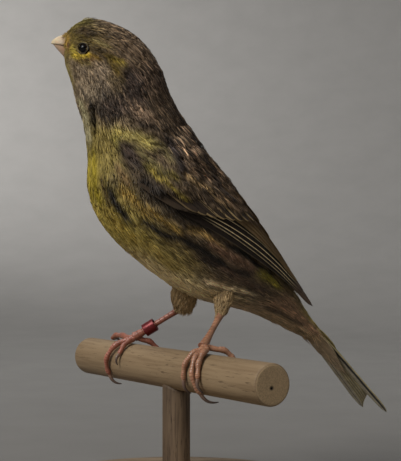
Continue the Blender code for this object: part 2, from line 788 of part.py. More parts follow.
def build_claw(name, spot, toe, material, parent):
    """A curved, tapering claw beyond the end of its toe."""
    share = np.linspace(0, 1, 8)
    gap_degrees = math.degrees(0.45 / (PERCH_DIAMETER / 2 + 1)) * math.copysign(1, toe[4])
    degrees = toe[3] + gap_degrees + toe[4] * share
    radius = (CLAW_RADIUS - CLAW_POINT) * (1 - share) ** 0.7 + CLAW_POINT
    along = spot + toe[1] + toe[5] * share**1.3
    clear = PERCH_DIAMETER / 2 + GAP + 0.55 + 0.55 * np.sin(share * math.pi) + abs(toe[5]) * 0.25 * share
    path = perch_point(along, degrees, clear + 0.1)
    add_solid(name, along_path(path, radius, 6), ring_faces(8, 6), material, parent)


def build_leg(side, parent, feather, skin, claw):
    """Thigh, tarsus, foot and claws of one leg."""
    sign = -1 if side == "left" else 1
    heel = np.array(HEELS[side])
    spot = FOOT_SPOT[side]
    shift, angle = ANKLE[side]
    ankle = perch_point(spot + shift, angle, PERCH_DIAMETER / 2 + GAP + TOE_RADIUS + 1.2)
    shank = ankle - heel
    length = np.linalg.norm(shank)
    shank /= length

    thigh_top = np.array([THIGH_TOP[0], sign * THIGH_TOP[1], THIGH_TOP[2]])
    rings = len(THIGH_RADII)
    share = np.linspace(0, 1, rings)
    path = thigh_top + (heel - shank * 0.9 - thigh_top) * share[:, None]
    path[:, 0] -= THIGH_BOW * np.sin(share * math.pi)
    points = along_path(path, THIGH_RADII, 16, start=(1, 0, 0))
    thigh = add_solid("thigh_" + side, points, ring_faces(rings, 16), feather)
    top = heel + shank * 0.8
    sleeve_path = [top - shank * GAP, ankle]
    sleeve_radius = TARSUS_RADIUS * 1.2 + GAP
    room = add_solid("room", *body_length(8.0, len(BODY_TABLE) - 1.0, GAP))
    points = along_path(sleeve_path, [sleeve_radius] * 2, 12, start=(1, 0, 0))
    sleeve = add_solid("sleeve", points, ring_faces(2, 12))
    join(thigh, [room, sleeve], "DIFFERENCE")
    thigh.parent = parent

    count = 2 * SCUTES
    share = np.linspace(0, 1, count)
    path = top + (ankle - shank * 1.5 - top) * share[:, None]
    step = np.where(np.arange(count) % 2 == 0, 1.07, 0.95)
    radii = TARSUS_RADIUS * (1.12 - TARSUS_WAIST * np.sin(share * math.pi)) * step
    points = along_path(path, radii, 8, start=(1, 0, 0))
    add_solid("tarsus_" + side, points, ring_faces(count, 8), skin, parent)

    neck = np.array([ankle - shank * (1.5 - GAP), ankle - shank * 0.6, ankle, ankle + shank * 0.5])
    points = along_path(neck, [1.05, 1.25, 1.35, 0.9], 10, start=(1, 0, 0))
    foot = add_solid("foot_" + side, points, ring_faces(4, 10), skin)
    toes = []
    for name, toe in TOES[side].items():
        rings = 17 if name != "hind" else 13
        path, radii = toe_route(spot, toe, 0.0, 1.0, rings)
        path[0] = ankle
        toes.append(add_solid(name, along_path(path, radii, 7), ring_faces(rings, 7)))
        build_claw(f"claw_{side}_{name}", spot, toe, claw, parent)
    join(foot, toes)
    foot.parent = parent
    return top, ankle, shank


def build_band(place, axis, material, parent):
    """The red leg band, a plain tube that slides on the tarsus."""
    angles = np.arange(BAND_SIDES) * 2 * math.pi / BAND_SIDES
    up = np.array([0.0, 0.0, 1.0]) - axis * axis[2]
    up /= np.linalg.norm(up)
    side = np.cross(axis, up)
    half = BAND_HEIGHT / 2
    outline = (
        (BAND_RADIUS, -half + BAND_EASING),
        (BAND_RADIUS, half - BAND_EASING),
        (BAND_RADIUS - BAND_EASING, half),
        (BAND_RADIUS - BAND_WALL, half),
        (BAND_RADIUS - BAND_WALL, -half),
        (BAND_RADIUS - BAND_EASING, -half),
    )
    points = []
    for angle in angles:
        outwards = math.cos(angle) * up + math.sin(angle) * side
        points += [place + outwards * radius + axis * level for radius, level in outline]
    faces = []
    count = len(outline)
    for ring in range(BAND_SIDES):
        after = (ring + 1) % BAND_SIDES
        for corner in range(count):
            beyond = (corner + 1) % count
            faces.append(
                (ring * count + corner, ring * count + beyond, after * count + beyond, after * count + corner)
            )
    add_solid("leg_band", points, faces, material, parent)


# Stand


def turned_piece(name, outline, sides, material, parent=None):
    """A solid of revolution about Z from (radius, height) pairs."""
    angles = np.arange(sides) * 2 * math.pi / sides
    points = []
    for radius, height in outline:
        points += [(radius * math.cos(a), radius * math.sin(a), height) for a in angles]
    return add_solid(name, points, ring_faces(len(outline), sides), material, parent)


def rounded_rod(length, radius, rounding):
    """Outline of a rod with softened ends."""
    return (
        (radius - rounding, 0.0),
        (radius, rounding),
        (radius, length - rounding),
        (radius - rounding, length),
    )


def build_stand(wood):
    """The dowel perch, the post under it and the round base."""
    height = BASE_THICKNESS + PERCH_ABOVE_BASE
    turned_piece(
        "stand_base", rounded_rod(BASE_THICKNESS, BASE_DIAMETER / 2, EDGE_ROUNDING), 40, wood
    )
    perch_outline = rounded_rod(PERCH_LENGTH, PERCH_DIAMETER / 2, EDGE_ROUNDING)
    perch = turned_piece("stand_perch", perch_outline, 40, wood)
    axis = np.array([-math.sin(PERCH_TURN), math.cos(PERCH_TURN), 0.0])
    place = -axis * (PERCH_LENGTH / 2 - PERCH_SHIFT)
    perch.rotation_euler = (-math.pi / 2, 0, PERCH_TURN)
    perch.location = (place[0] * MM, place[1] * MM, height * MM)

    post_outline = ((POST_DIAMETER / 2, BASE_THICKNESS + GAP), (POST_DIAMETER / 2, height - 1.0))
    post = turned_piece("stand_post", post_outline, 32, wood)
    saddle = ((PERCH_DIAMETER / 2 + GAP, -20), (PERCH_DIAMETER / 2 + GAP, 20))
    cutter = turned_piece("saddle", saddle, 40, None)
    cutter.rotation_euler = (-math.pi / 2, 0, PERCH_TURN)
    cutter.location = (0, 0, height * MM)
    join(post, [cutter], "DIFFERENCE")


def main():
    for old in list(bpy.data.objects):
        bpy.data.objects.remove(old)
    bird = bpy.data.objects.new("bird", None)
    bpy.context.scene.collection.objects.link(bird)
    bird.location = (
        -math.sin(PERCH_TURN) * BIRD_FROM_POST * MM,
        math.cos(PERCH_TURN) * BIRD_FROM_POST * MM,
        (BASE_THICKNESS + PERCH_ABOVE_BASE) * MM,
    )
    brown = make_material("plumage brown", PLUMAGE_BROWN, 0.8)
    yellow = make_material("plumage yellow", PLUMAGE_YELLOW, 0.8)
    grey = make_material("plumage grey", PLUMAGE_GREY, 0.85)
    horn = make_material("horn", HORN_PINK, 0.4)
    skin = make_material("leg skin", SKIN_PINK, 0.5)
    claw = make_material("claw", CLAW_GREY, 0.4)
    eye = make_material("eye", EYE_BLACK, 0.08)
    red = make_material("band", BAND_RED, 0.35, 0.6)
    wood = make_material("wood", WOOD_PALE, 0.6)

    build_stand(wood)
    build_head(bird, *build_body(bird, brown, yellow), brown, eye)
    build_bill(bird, horn)
    build_wings(bird, brown)
    build_tail(bird, brown)
    build_leg("left", bird, grey, skin, claw)
    top, ankle, shank = build_leg("right", bird, grey, skin, claw)
    build_band(ankle - shank * BAND_FROM_FOOT, shank, red, bird)


main()
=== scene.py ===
"""The looks of a life-size model canary that grips its round wooden perch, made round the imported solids.

Sizes are in millimetres, as the real pieces would be measured, and each piece's points go into its
mesh in metres. The bird's own zero is on the perch's axis, midway between the feet: x runs to its
tail, y to its right side and z up.
"""

import math

import bpy
import numpy as np
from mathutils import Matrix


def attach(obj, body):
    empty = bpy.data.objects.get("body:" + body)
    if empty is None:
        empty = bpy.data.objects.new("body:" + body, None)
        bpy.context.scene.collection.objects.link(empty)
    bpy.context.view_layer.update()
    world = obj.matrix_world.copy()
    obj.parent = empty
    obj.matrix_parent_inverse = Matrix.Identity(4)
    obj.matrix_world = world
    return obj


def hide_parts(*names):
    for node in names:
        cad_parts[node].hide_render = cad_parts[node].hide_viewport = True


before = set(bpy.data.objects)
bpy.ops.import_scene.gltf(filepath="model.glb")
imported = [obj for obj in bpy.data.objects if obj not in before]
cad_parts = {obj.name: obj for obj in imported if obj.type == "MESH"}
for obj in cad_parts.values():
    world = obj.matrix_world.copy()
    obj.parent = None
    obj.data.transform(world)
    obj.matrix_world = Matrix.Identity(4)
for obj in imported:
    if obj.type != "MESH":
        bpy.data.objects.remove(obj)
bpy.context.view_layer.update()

# The view: the photograph looks level past the bird's breast, from its left and a little in front.
# The lens is a long one, so the perch's near end is hardly larger than its far end.

camera_data = bpy.data.cameras.new("camera")
camera_data.lens = 122.6
camera_data.sensor_width = 36.0
camera_data.sensor_fit = "HORIZONTAL"
camera = bpy.data.objects.new("camera", camera_data)
bpy.context.scene.collection.objects.link(camera)
camera.location = (-0.1818, -0.3730, 0.0842)
camera.rotation_euler = (math.radians(90), 0, math.radians(-27))
bpy.context.scene.camera = camera
bpy.context.scene.view_settings.view_transform = "Standard"

# The room: plain pale paper that lies flat under the stand and curves up far off on every side.
# Soft lamps stand to the left and above, so the paper grows darker to the right and downwards, and a painted shade
# makes it darker near the stand and lighter far off.

MM = 0.001


def piece(name, points, faces, finish, closed=True, uv=None, uv_map="surface", **attributes):
    """A smooth mesh from points in millimetres and arrays of faces, one for each number of corners. Where a closed
    mesh's corner triples' determinants sum to a negative, every face is turned over."""
    points = np.asarray(points, float).reshape(-1, 3) * MM
    faces = [np.asarray(array, np.int32) for array in faces]
    volume = 0.0
    for array in faces:
        first = points[array[:, 0]]
        for corner in range(1, array.shape[1] - 1):
            volume += np.sum(first * np.cross(points[array[:, corner]], points[array[:, corner + 1]]))
    if closed and volume < 0:
        faces = [array[:, ::-1] for array in faces]
    mesh = bpy.data.meshes.new(name)
    corners = np.concatenate([array.ravel() for array in faces]).astype(np.int32)
    counts = np.concatenate([np.full(len(array), array.shape[1]) for array in faces])
    mesh.vertices.add(len(points))
    mesh.vertices.foreach_set("co", points.astype(np.float32).ravel())
    mesh.loops.add(len(corners))
    mesh.loops.foreach_set("vertex_index", corners)
    mesh.polygons.add(len(counts))
    mesh.polygons.foreach_set("loop_start", (np.cumsum(counts) - counts).astype(np.int32))
    mesh.polygons.foreach_set("use_smooth", np.ones(len(counts), bool))
    mesh.update(calc_edges=True)
    for key, values in attributes.items():
        values = np.asarray(values, np.float32).reshape(len(points), -1)
        if values.shape[1] == 3:
            values = np.hstack([values, np.ones((len(points), 1), np.float32)])
            mesh.attributes.new(key, "FLOAT_COLOR", "POINT").data.foreach_set("color", values.ravel())
        else:
            mesh.attributes.new(key, "FLOAT", "POINT").data.foreach_set("value", values.ravel())
    if uv is not None:
        layer = mesh.uv_layers.new(name=uv_map)
        layer.data.foreach_set("uv", np.asarray(uv, np.float32).reshape(-1, 2)[corners].ravel())
    made = bpy.data.objects.new(name, mesh)
    bpy.context.scene.collection.objects.link(made)
    mesh.materials.append(finish)
    return made


def grid(rows, columns, wrap=True, start=0):
    """Quads of a grid of points, numbered row by row, whose last column meets the first if it wraps."""
    row, column = np.meshgrid(np.arange(rows - 1), np.arange(columns - (not wrap)), indexing="ij")
    after = (column + 1) % columns
    corners = [row * columns + column, row * columns + after, (row + 1) * columns + after]
    corners.append((row + 1) * columns + column)
    return np.stack(corners, -1).reshape(-1, 4) + start


def ends(rows, columns, start=0):
    """The flat polygons that close a wrapped grid at its first and its last row."""
    first = np.arange(columns)[::-1]
    return np.stack([first, (rows - 1) * columns + np.arange(columns)]) + start


def finish_of(name, roughness, specular=0.5, **more):
    """A new Principled finish with its constant sockets set, and its node tree and shader."""
    made = bpy.data.materials.new(name)
    made.use_nodes = True
    shader = made.node_tree.nodes["Principled BSDF"]
    shader.inputs["Roughness"].default_value = roughness
    shader.inputs["Specular IOR Level"].default_value = specular
    for key, value in more.items():
        shader.inputs[key.replace("_", " ")].default_value = value
    return made, made.node_tree, shader


def node(tree, kind, inputs=None, **settings):
    """One shader node. An input is a number, a colour or another node's output."""
    made = tree.nodes.new("ShaderNode" + kind)
    for key, value in settings.items():
        setattr(made, key, value)
    for key, value in (inputs or {}).items():
        if isinstance(value, bpy.types.NodeSocket):
            tree.links.new(value, made.inputs[key])
        else:
            made.inputs[key].default_value = value
    return made


def ramp(tree, factor, *stops):
    """A colour ramp through stops of (place, grey or colour)."""
    made = node(tree, "ValToRGB", {"Fac": factor})
    elements = made.color_ramp.elements
    while len(elements) < len(stops):
        elements.new(0.5)
    for element, (place, colour) in zip(elements, stops):
        element.position = place
        element.color = (*colour, 1) if isinstance(colour, tuple) else (colour, colour, colour, 1)
    return made.outputs["Color"]


def mix(tree, factor, first, second, how="MIX"):
    """Two colours mixed by a factor."""
    made = node(tree, "Mix", {0: factor}, data_type="RGBA", blend_type=how)
    for key, value in ((6, first), (7, second)):
        if isinstance(value, bpy.types.NodeSocket):
            tree.links.new(value, made.inputs[key])
        else:
            made.inputs[key].default_value = (*value, 1)
    return made.outputs[2]


def noise(tree, scale, stretch=(1, 1, 1), turn=(0, 0, 0), detail=3.0, roughness=0.55, place=(0, 0, 0)):
    """Noise on Object coordinates, turned by one Mapping node and then stretched by another."""
    where = node(tree, "TexCoord").outputs["Object"]
    where = node(tree, "Mapping", {"Vector": where, "Rotation": turn, "Location": place}).outputs[0]
    where = node(tree, "Mapping", {"Vector": where, "Scale": stretch})
    inputs = {"Vector": where.outputs[0], "Scale": scale, "Detail": detail, "Roughness": roughness}
    return node(tree, "TexNoise", inputs).outputs["Fac"]


def bump(tree, shader, height, distance, strength=1.0):
    """Fine relief on a finish, of a depth in metres."""
    made = node(tree, "Bump", {"Height": height, "Distance": distance, "Strength": strength})
    tree.links.new(made.outputs[0], shader.inputs["Normal"])


def seen(red, green, blue, gain=1.0):
    """A colour named by its eight-bit screen values, as linear light times a gain."""
    share = np.array([red, green, blue]) / 255
    return np.where(share > 0.04045, ((share + 0.055) / 1.055) ** 2.4, share / 12.92) * gain


ROOM_FLAT = 640.0
ROOM_BEND = 860.0
ROOM_HEIGHT = 1900.0
PAPER_NEAR = (0.222, 0.212, 0.199)
PAPER_MIDDLE = (0.36, 0.346, 0.328)
PAPER_FAR = (0.49, 0.472, 0.450)
bend = np.linspace(0, math.pi / 2, 40)
room_radius = np.concatenate([[1.0, 150, 300, 480], ROOM_FLAT + ROOM_BEND * np.sin(bend), [ROOM_FLAT + ROOM_BEND]])
room_height = np.concatenate([[0.0] * 4, ROOM_BEND * (1 - np.cos(bend)), [ROOM_HEIGHT]])
round_angle = np.linspace(0, 2 * math.pi, 97)[:-1]
room_points = np.stack(
    [
        room_radius[:, None] * np.cos(round_angle),
        room_radius[:, None] * np.sin(round_angle),
        room_height[:, None] + 0 * round_angle,
    ],
    -1,
)
paper, tree, shader = finish_of("paper", 0.95, 0.2)
fibre = noise(tree, 30.0, detail=6.0)
grain = ramp(tree, fibre, (0.3, (0.93, 0.93, 0.93)), (0.7, (1.0, 1.0, 1.0)))
# Painted shade: the paper is painted a little darker in its middle and lighter far off, its tone following the distance
# from the stand, in metres
spot = node(tree, "TexCoord").outputs["Object"]
distance = node(tree, "VectorMath", {0: spot}, operation="LENGTH").outputs["Value"]
painted_floor_shade = ramp(tree, distance, (0.1, PAPER_NEAR), (0.45, PAPER_MIDDLE), (0.95, PAPER_FAR))
tree.links.new(mix(tree, 1.0, painted_floor_shade, grain, "MULTIPLY"), shader.inputs["Base Color"])
room = piece("floor", room_points, [grid(len(room_radius), 96), np.arange(96)[None, ::-1]], paper, closed=False)


def lamp(name, place, aim, size, watts, colour=(1.0, 1.0, 1.0)):
    """A square soft lamp at a place in metres, turned to the point it aims at."""
    data = bpy.data.lights.new(name, "AREA")
    data.size = size
    data.energy = watts
    data.color = colour
    made = bpy.data.objects.new(name, data)
    bpy.context.scene.collection.objects.link(made)
    made.location = place
    towards = np.array(aim, float) - place
    towards /= np.linalg.norm(towards)
    made.rotation_euler = (math.acos(-towards[2]), 0, math.atan2(-towards[0], towards[1]))
    made.visible_camera = False


VIEW_AHEAD = np.array([0.454, 0.891, 0.0])
VIEW_RIGHT = np.array([0.891, -0.454, 0.0])
VIEW_UP = np.array([0.0, 0.0, 1.0])
BIRD_MIDDLE = np.array([0.0, 0.0, 0.11])


def from_view(right, ahead, up):
    """A place in the room, in metres from the bird's middle, as the camera sees it."""
    return BIRD_MIDDLE + VIEW_RIGHT * right + VIEW_AHEAD * ahead + VIEW_UP * up


lamp("key_lamp", from_view(-0.44, -0.42, 0.48), BIRD_MIDDLE, 0.34, 4.5, (1.0, 0.985, 0.96))
lamp("top_lamp", from_view(-0.1, 0.25, 0.75), BIRD_MIDDLE, 0.5, 1.6, (0.97, 0.985, 1.0))
lamp("paper_lamp", from_view(-0.36, 0.95, 0.42), from_view(-0.22, 1.5, 0.25), 0.5, 1.7)
world = bpy.data.worlds.new("room")
world.use_nodes = True
world.node_tree.nodes["Background"].inputs["Color"].default_value = (0.75, 0.78, 0.8, 1)
world.node_tree.nodes["Background"].inputs["Strength"].default_value = 0.35
bpy.context.scene.world = world

# The stand: a beech dowel for a perch on a shorter, darker dowel, which stands in a round turned base.
# The perch's ends are sawn square and eased, and a small dark pith hole shows in the end grain.

PERCH_RADIUS = 6.0
PERCH_LENGTH = 106.0
PERCH_SHIFT = 2.7
PERCH_TURN = math.radians(5.6)
PERCH_HEIGHT = 42.0
PITH = (-0.4, -0.9)
PITH_RADIUS = 0.3
POST_RADIUS = 4.2
BASE_RADIUS = 46.0
BASE_THICKNESS = 8.0
EASING = 0.8


def eased(length, radius):
    """Radius and height along a rod whose two rims are quarter circles."""
    arc = np.linspace(0, math.pi / 2, 6)
    rise = EASING * (1 - np.cos(arc))
    out = radius - EASING + EASING * np.sin(arc)
    middle = np.linspace(EASING * 1.4, length - EASING * 1.4, 24)
    return (
        np.concatenate([out, np.full(24, radius), out[::-1]]),
        np.concatenate([rise, middle, length - rise[::-1]]),
    )


def wood(name, turn, pale, dark, pore, flecks=0.5):
    """Beech or darker wood: streaks and short pores that run along Object X after the turn, and a fine speckle where
    the attribute end_grain is 1."""
    made, tree, shader = finish_of(name, 0.62, 0.35)
    streaks = noise(tree, 18.0, (1.6, 26, 26), turn, 5.0, 0.6)
    figure = noise(tree, 9.0, (2, 16, 16), turn, 2.0, 0.5, (0.3, 0.1, 0.2))
    pores = noise(tree, 105.0, (1.9, 26, 26), turn, 2.0, 0.7)
    lines = noise(tree, 60.0, (0.9, 26, 26), turn, 2.0, 0.6, (0.1, 0.4, 0.1))
    colour = ramp(tree, streaks, (0.30, dark), (0.5, pale), (0.72, tuple(c * 1.14 for c in pale)))
    colour = mix(tree, ramp(tree, figure, (0.42, 0.0), (0.62, flecks)), colour, dark)
    colour = mix(tree, ramp(tree, lines, (0.5, 0.0), (0.66, 0.6)), colour, dark)
    pits = ramp(tree, pores, (0.30, 0.85), (0.38, 0.0))
    colour = mix(tree, pits, colour, pore)
    end = node(tree, "Attribute", attribute_name="end_grain").outputs["Fac"]
    speck = noise(tree, 2300.0, (1, 1, 1), turn, 4.0, 0.7)
    cut = ramp(tree, speck, (0.34, tuple(c * 1.3 for c in pale)), (0.64, tuple(c * 1.95 for c in pale)))
    # The pith hole's floor and wall are painted near black: the pith's own darker tone and painted shade inside the
    # hole
    hole = node(tree, "Attribute", attribute_name="pith").outputs["Fac"]
    cut = mix(tree, hole, cut, (0.012, 0.009, 0.007))
    tree.links.new(mix(tree, end, colour, cut), shader.inputs["Base Color"])
    height = mix(tree, pits, streaks, (0.0, 0.0, 0.0))
    bump(tree, shader, mix(tree, end, height, speck), 0.00012, 0.7)
    return made


def rod_ends(rows, sides):
    """Faces of a closed rod: a wrapped grid and its two end polygons."""
    return [grid(rows, sides), ends(rows, sides)]


beech = wood("perch_beech", (0, 0, -PERCH_TURN - math.pi / 2), (0.31, 0.218, 0.124), (0.215, 0.142, 0.076), (0.085, 0.052, 0.028))
perch_radius, perch_along = eased(PERCH_LENGTH, PERCH_RADIUS)
perch_axis = np.array([-math.sin(PERCH_TURN), math.cos(PERCH_TURN), 0.0])
perch_side = np.array([math.cos(PERCH_TURN), math.sin(PERCH_TURN), 0.0])
sides = np.linspace(0, 2 * math.pi, 129)[:-1]
rim = np.stack([np.cos(sides), np.sin(sides)], -1)
# From the near end: the hole's floor and wall, rings over the sawn face, the rim, and the same at the far end
cap_share = np.array([0.0, 0.0, 0.0, 0.12, 0.3, 0.5, 0.7, 0.86, 0.96])
cap_small = np.array([0.2, 0.9, 1.0, 1.0, 1.0, 1.0, 1.0, 1.0, 1.0])
cap_depth = np.array([2.2, 2.0, 0.0, 0.0, 0.0, 0.0, 0.0, 0.0, 0.0])
pith = np.array(PITH)
cap_flat = (
    (1 - cap_share)[:, None, None] * (pith + rim * PITH_RADIUS * cap_small[:, None, None])
    + cap_share[:, None, None] * rim * (PERCH_RADIUS - EASING)
)
body_flat = rim * perch_radius[:, None, None]
flat = np.concatenate([cap_flat, body_flat, cap_flat[::-1]])
along = np.concatenate([cap_depth, perch_along, PERCH_LENGTH - cap_depth[::-1]]) - PERCH_LENGTH / 2 + PERCH_SHIFT
perch_points = (
    along[:, None, None] * perch_axis
    + flat[..., :1] * perch_side
    + flat[..., 1:] * VIEW_UP
    + np.array([0, 0, PERCH_HEIGHT])
)
flat_rows = len(cap_share) + 2
sawn = np.zeros(len(along))
sawn[:flat_rows] = 1
sawn[-flat_rows:] = 1
# Rows of the pith hole, which get its painted shade
pitted = np.zeros(len(along))
pitted[:3] = pitted[-3:] = 1
perch = piece(
    "perch",
    perch_points,
    rod_ends(len(along), 128),
    beech,
    end_grain=np.repeat(sawn, 128),
    pith=np.repeat(pitted, 128),
)
dark_wood = wood("post_wood", (0, math.pi / 2, 0), (0.25, 0.172, 0.106), (0.08, 0.052, 0.032), (0.03, 0.018, 0.012), 0.8)
post_along = np.linspace(BASE_THICKNESS + 0.3, PERCH_HEIGHT - 1.0, 30)
# The post's top is coped to the dowel: each point stops below the perch's round underside
post_flat = rim * POST_RADIUS
across = post_flat @ perch_side[:2]
under = PERCH_HEIGHT - np.sqrt((PERCH_RADIUS - 0.1) ** 2 - across**2)
post_share = np.linspace(0, 1, 30)[:, None]
post_top = np.stack([post_flat[:, 0], post_flat[:, 1], under], -1)
post_foot = np.stack([post_flat[:, 0], post_flat[:, 1], 0 * under + BASE_THICKNESS - 2.0], -1)
post_points = post_foot + (post_top - post_foot) * post_share[..., None]
post = piece("post", post_points, rod_ends(30, 128), dark_wood)
base_wood = wood("base_wood", (0, 0, 0.4), (0.26, 0.182, 0.108), (0.14, 0.094, 0.054), (0.05, 0.03, 0.02), 0.7)
base_arc = np.linspace(0, math.pi / 2, 7)
base_radius = np.concatenate(
    [
        BASE_RADIUS - EASING + EASING * np.sin(base_arc),
        BASE_RADIUS - EASING + EASING * np.cos(base_arc),
        [BASE_RADIUS - EASING - 0.5, 36.0, 20.0, 6.2, 5.4, 4.6],
    ]
)
base_height = np.concatenate(
    [
        EASING * (1 - np.cos(base_arc)),
        BASE_THICKNESS - EASING + EASING * np.sin(base_arc),
        [BASE_THICKNESS] * 5,
        [BASE_THICKNESS - 0.5],
    ]
)
base_points = np.concatenate(
    [rim * base_radius[:, None, None], np.repeat(base_height[:, None, None], 128, 1)], -1
)
base = piece("base", base_points, rod_ends(len(base_radius), 128), base_wood)
for made, solid in ((perch, "stand_perch"), (post, "stand_post"), (base, "stand_base")):
    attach(made, "root")
    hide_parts(solid)

# The body: one skin from the bill's root to the tail's root, which lies under the plumage by its depth.
# The head is turned to the bird's right. Markings are alike on skin and feathers.

BIRD_PLACE = np.array([-0.37, 3.78, PERCH_HEIGHT])
# Back x, back z, belly x, belly z, half width and turn in degrees, from the bill's root to the tail's root
BODY = np.array(
    [
        (-32.9, 101.0, -33.5, 93.8, 3.3, 30),
        (-30.9, 103.6, -33.1, 91.6, 5.2, 30),
        (-26.4, 105.7, -32.4, 89.3, 7.0, 30),
        (-20.0, 104.9, -31.3, 86.4, 8.3, 29),
        (-11.4, 100.4, -30.3, 82.3, 9.6, 25),
        (-4.8, 92.0, -29.1, 77.4, 11.0, 17),
        (-0.8, 82.4, -27.8, 71.5, 12.6, 8),
        (6.0, 72.2, -27.0, 63.5, 15.2, 2),
        (14.4, 61.8, -26.4, 54.0, 17.2, 0),
        (21.6, 52.6, -22.6, 44.6, 17.8, 0),
        (28.6, 43.6, -12.6, 34.4, 17.0, 0),
        (34.8, 35.4, 0.6, 25.2, 15.0, 0),
        (40.0, 27.8, 14.4, 20.2, 11.6, 0),
        (44.6, 21.0, 28.0, 16.8, 8.4, 0),
        (48.6, 15.2, 40.0, 11.6, 6.2, 0),
        (52.6, 10.6, 48.6, 7.4, 4.8, 0),
    ]
)
TURN_PIVOT = -20.0
# The way that feathers run on over the tail past the last station, in millimetres for one station more
PAST_TAIL_ROOT = np.array([5.4, 0.0, -5.9])
WING_WRIST = np.array([-20.0, 62.0])
WING_END = np.array([45.3, 19.3])
WING_LENGTH = float(np.linalg.norm(WING_END - WING_WRIST))
WING_CHORD = (WING_END - WING_WRIST) / WING_LENGTH
# Along the wing, lower edge, upper edge, lateral reach at the lower edge, at the upper edge
WING = np.array(
    [
        (-5.0, 1.0, 12.5, 11.0, 6.0),
        (6.0, -2.4, 14.6, 16.8, 5.5),
        (20.0, -2.4, 16.0, 19.0, 4.6),
        (34.0, -1.4, 14.8, 18.9, 3.6),
        (48.0, -0.8, 11.4, 16.2, 3.2),
        (60.0, 0.2, 7.2, 12.6, 4.0),
        (70.0, 0.9, 3.6, 9.6, 6.2),
        (79.0, -0.4, 0.8, 8.0, 7.4),
        (82.0, -1.1, -0.2, 7.4, 7.0),
    ]
)
# Feather length on the back, on the belly, feather width, barb width, depth of the coat
COAT = np.array(
    [
        (1.5, 1.5, 0.8, 0.17, 0.45),
        (2.0, 2.0, 1.1, 0.19, 0.55),
        (2.7, 2.6, 1.4, 0.21, 0.75),
        (3.5, 3.2, 1.7, 0.23, 0.95),
        (4.4, 4.0, 2.0, 0.26, 1.2),
        (5.4, 5.2, 2.4, 0.29, 1.5),
        (6.2, 6.4, 2.8, 0.31, 1.7),
        (7.0, 7.0, 3.1, 0.33, 1.9),
        (7.4, 7.4, 3.3, 0.34, 2.0),
        (7.6, 7.8, 3.4, 0.34, 2.0),
        (7.6, 8.4, 3.4, 0.34, 2.0),
        (7.6, 9.0, 3.4, 0.34, 1.9),
        (7.4, 8.6, 3.2, 0.33, 1.7),
        (7.6, 8.6, 2.9, 0.31, 1.4),
        (7.6, 7.4, 2.7, 0.29, 1.0),
        (6.6, 6.0, 2.4, 0.27, 0.7),
    ]
)


def follow(table, where):
    """Rows of a table at fractional row numbers, on the Catmull-Rom curve through the rows."""
    where = np.clip(where, 0, len(table) - 1)
    row = np.minimum(where.astype(int), len(table) - 2)
    part = (where - row)[..., None]
    before, first = table[np.maximum(row - 1, 0)], table[row]
    second, after = table[row + 1], table[np.minimum(row + 2, len(table) - 1)]
    return 0.5 * (
        2 * first
        + (second - before) * part
        + (2 * before - 5 * first + 4 * second - after) * part**2
        + (3 * first - before - 3 * second + after) * part**3
    )


def head_turned(points, degrees):
    """Points turned about the vertical through the neck, to the bird's right."""
    angle = np.radians(degrees)
    x = points[..., 0] - TURN_PIVOT
    y = points[..., 1]
    turned_x = TURN_PIVOT + x * np.cos(angle) + y * np.sin(angle)
    return np.stack([turned_x, -x * np.sin(angle) + y * np.cos(angle), points[..., 2]], -1)


def body_at(station, angle, height):
    """A point of the body: an ellipse from the back, at 0 degrees, to the belly, at 180, whose right side
    has positive angles, swollen by a height in millimetres, and turned with the head."""
    back_x, back_z, belly_x, belly_z, half_width, turn = np.moveaxis(follow(BODY, station), -1, 0)
    centre_x, centre_z = (back_x + belly_x) / 2, (back_z + belly_z) / 2
    up_x, up_z = (back_x - belly_x) / 2, (back_z - belly_z) / 2
    half_depth = np.hypot(up_x, up_z)
    swell = (half_depth + height) / half_depth * np.cos(np.radians(angle))
    cheek = 1 - 0.07 * np.cos(np.radians(angle))
    y = (half_width + height) * np.sin(np.radians(angle)) * cheek
    points = head_turned(np.stack([centre_x + up_x * swell, y, centre_z + up_z * swell], -1), turn)
    return points + np.maximum(station - 15, 0)[..., None] * PAST_TAIL_ROOT


def wing_line(along):
    """Lower edge, upper edge and lateral reaches of the wing at distances from the wrist."""
    row = np.interp(along, WING[:, 0], np.arange(len(WING)))
    return np.moveaxis(follow(WING, row), -1, 0)[1:]


def eased_step(value):
    """A soft step: 0 up to 0, 1 from 1, and 3 x^2 - 2 x^3 between."""
    value = np.clip(value, 0, 1)
    return value * value * (3 - 2 * value)


def beside_wing(points):
    """Distance along the folded wing from its wrist, and share of its height over its lower edge, of
    points seen from the side."""
    x, z = points[..., 0] - WING_WRIST[0], points[..., 2] - WING_WRIST[1]
    along = x * WING_CHORD[0] + z * WING_CHORD[1]
    lower, upper, _, _ = wing_line(along)
    return along, (z * WING_CHORD[0] - x * WING_CHORD[1] - lower) / (upper - lower)


def coat_at(station, angle, height):
    """A point of the coat's surface: the body's, swollen over each folded wing to the quarter ellipse that
    the wing's own feathers lie on. The swelling fades out at the wing's front, foot, top and rear."""
    points = body_at(station, angle, height)
    along, share = beside_wing(points)
    _, _, below, above = wing_line(along)
    over_wing = above + (below - above) * np.sqrt(1 - np.clip(share, 0, 1) ** 2) + height
    reach = np.abs(points[..., 1])
    inside = eased_step((along + 6) / 11) * eased_step((60 - along) / 12)
    inside *= eased_step((share + 0.15) / 0.3) * eased_step((1.12 - share) / 0.2)
    reach = reach + np.maximum(over_wing - reach, 0) * inside
    points[..., 1] = np.copysign(reach, points[..., 1])
    return points


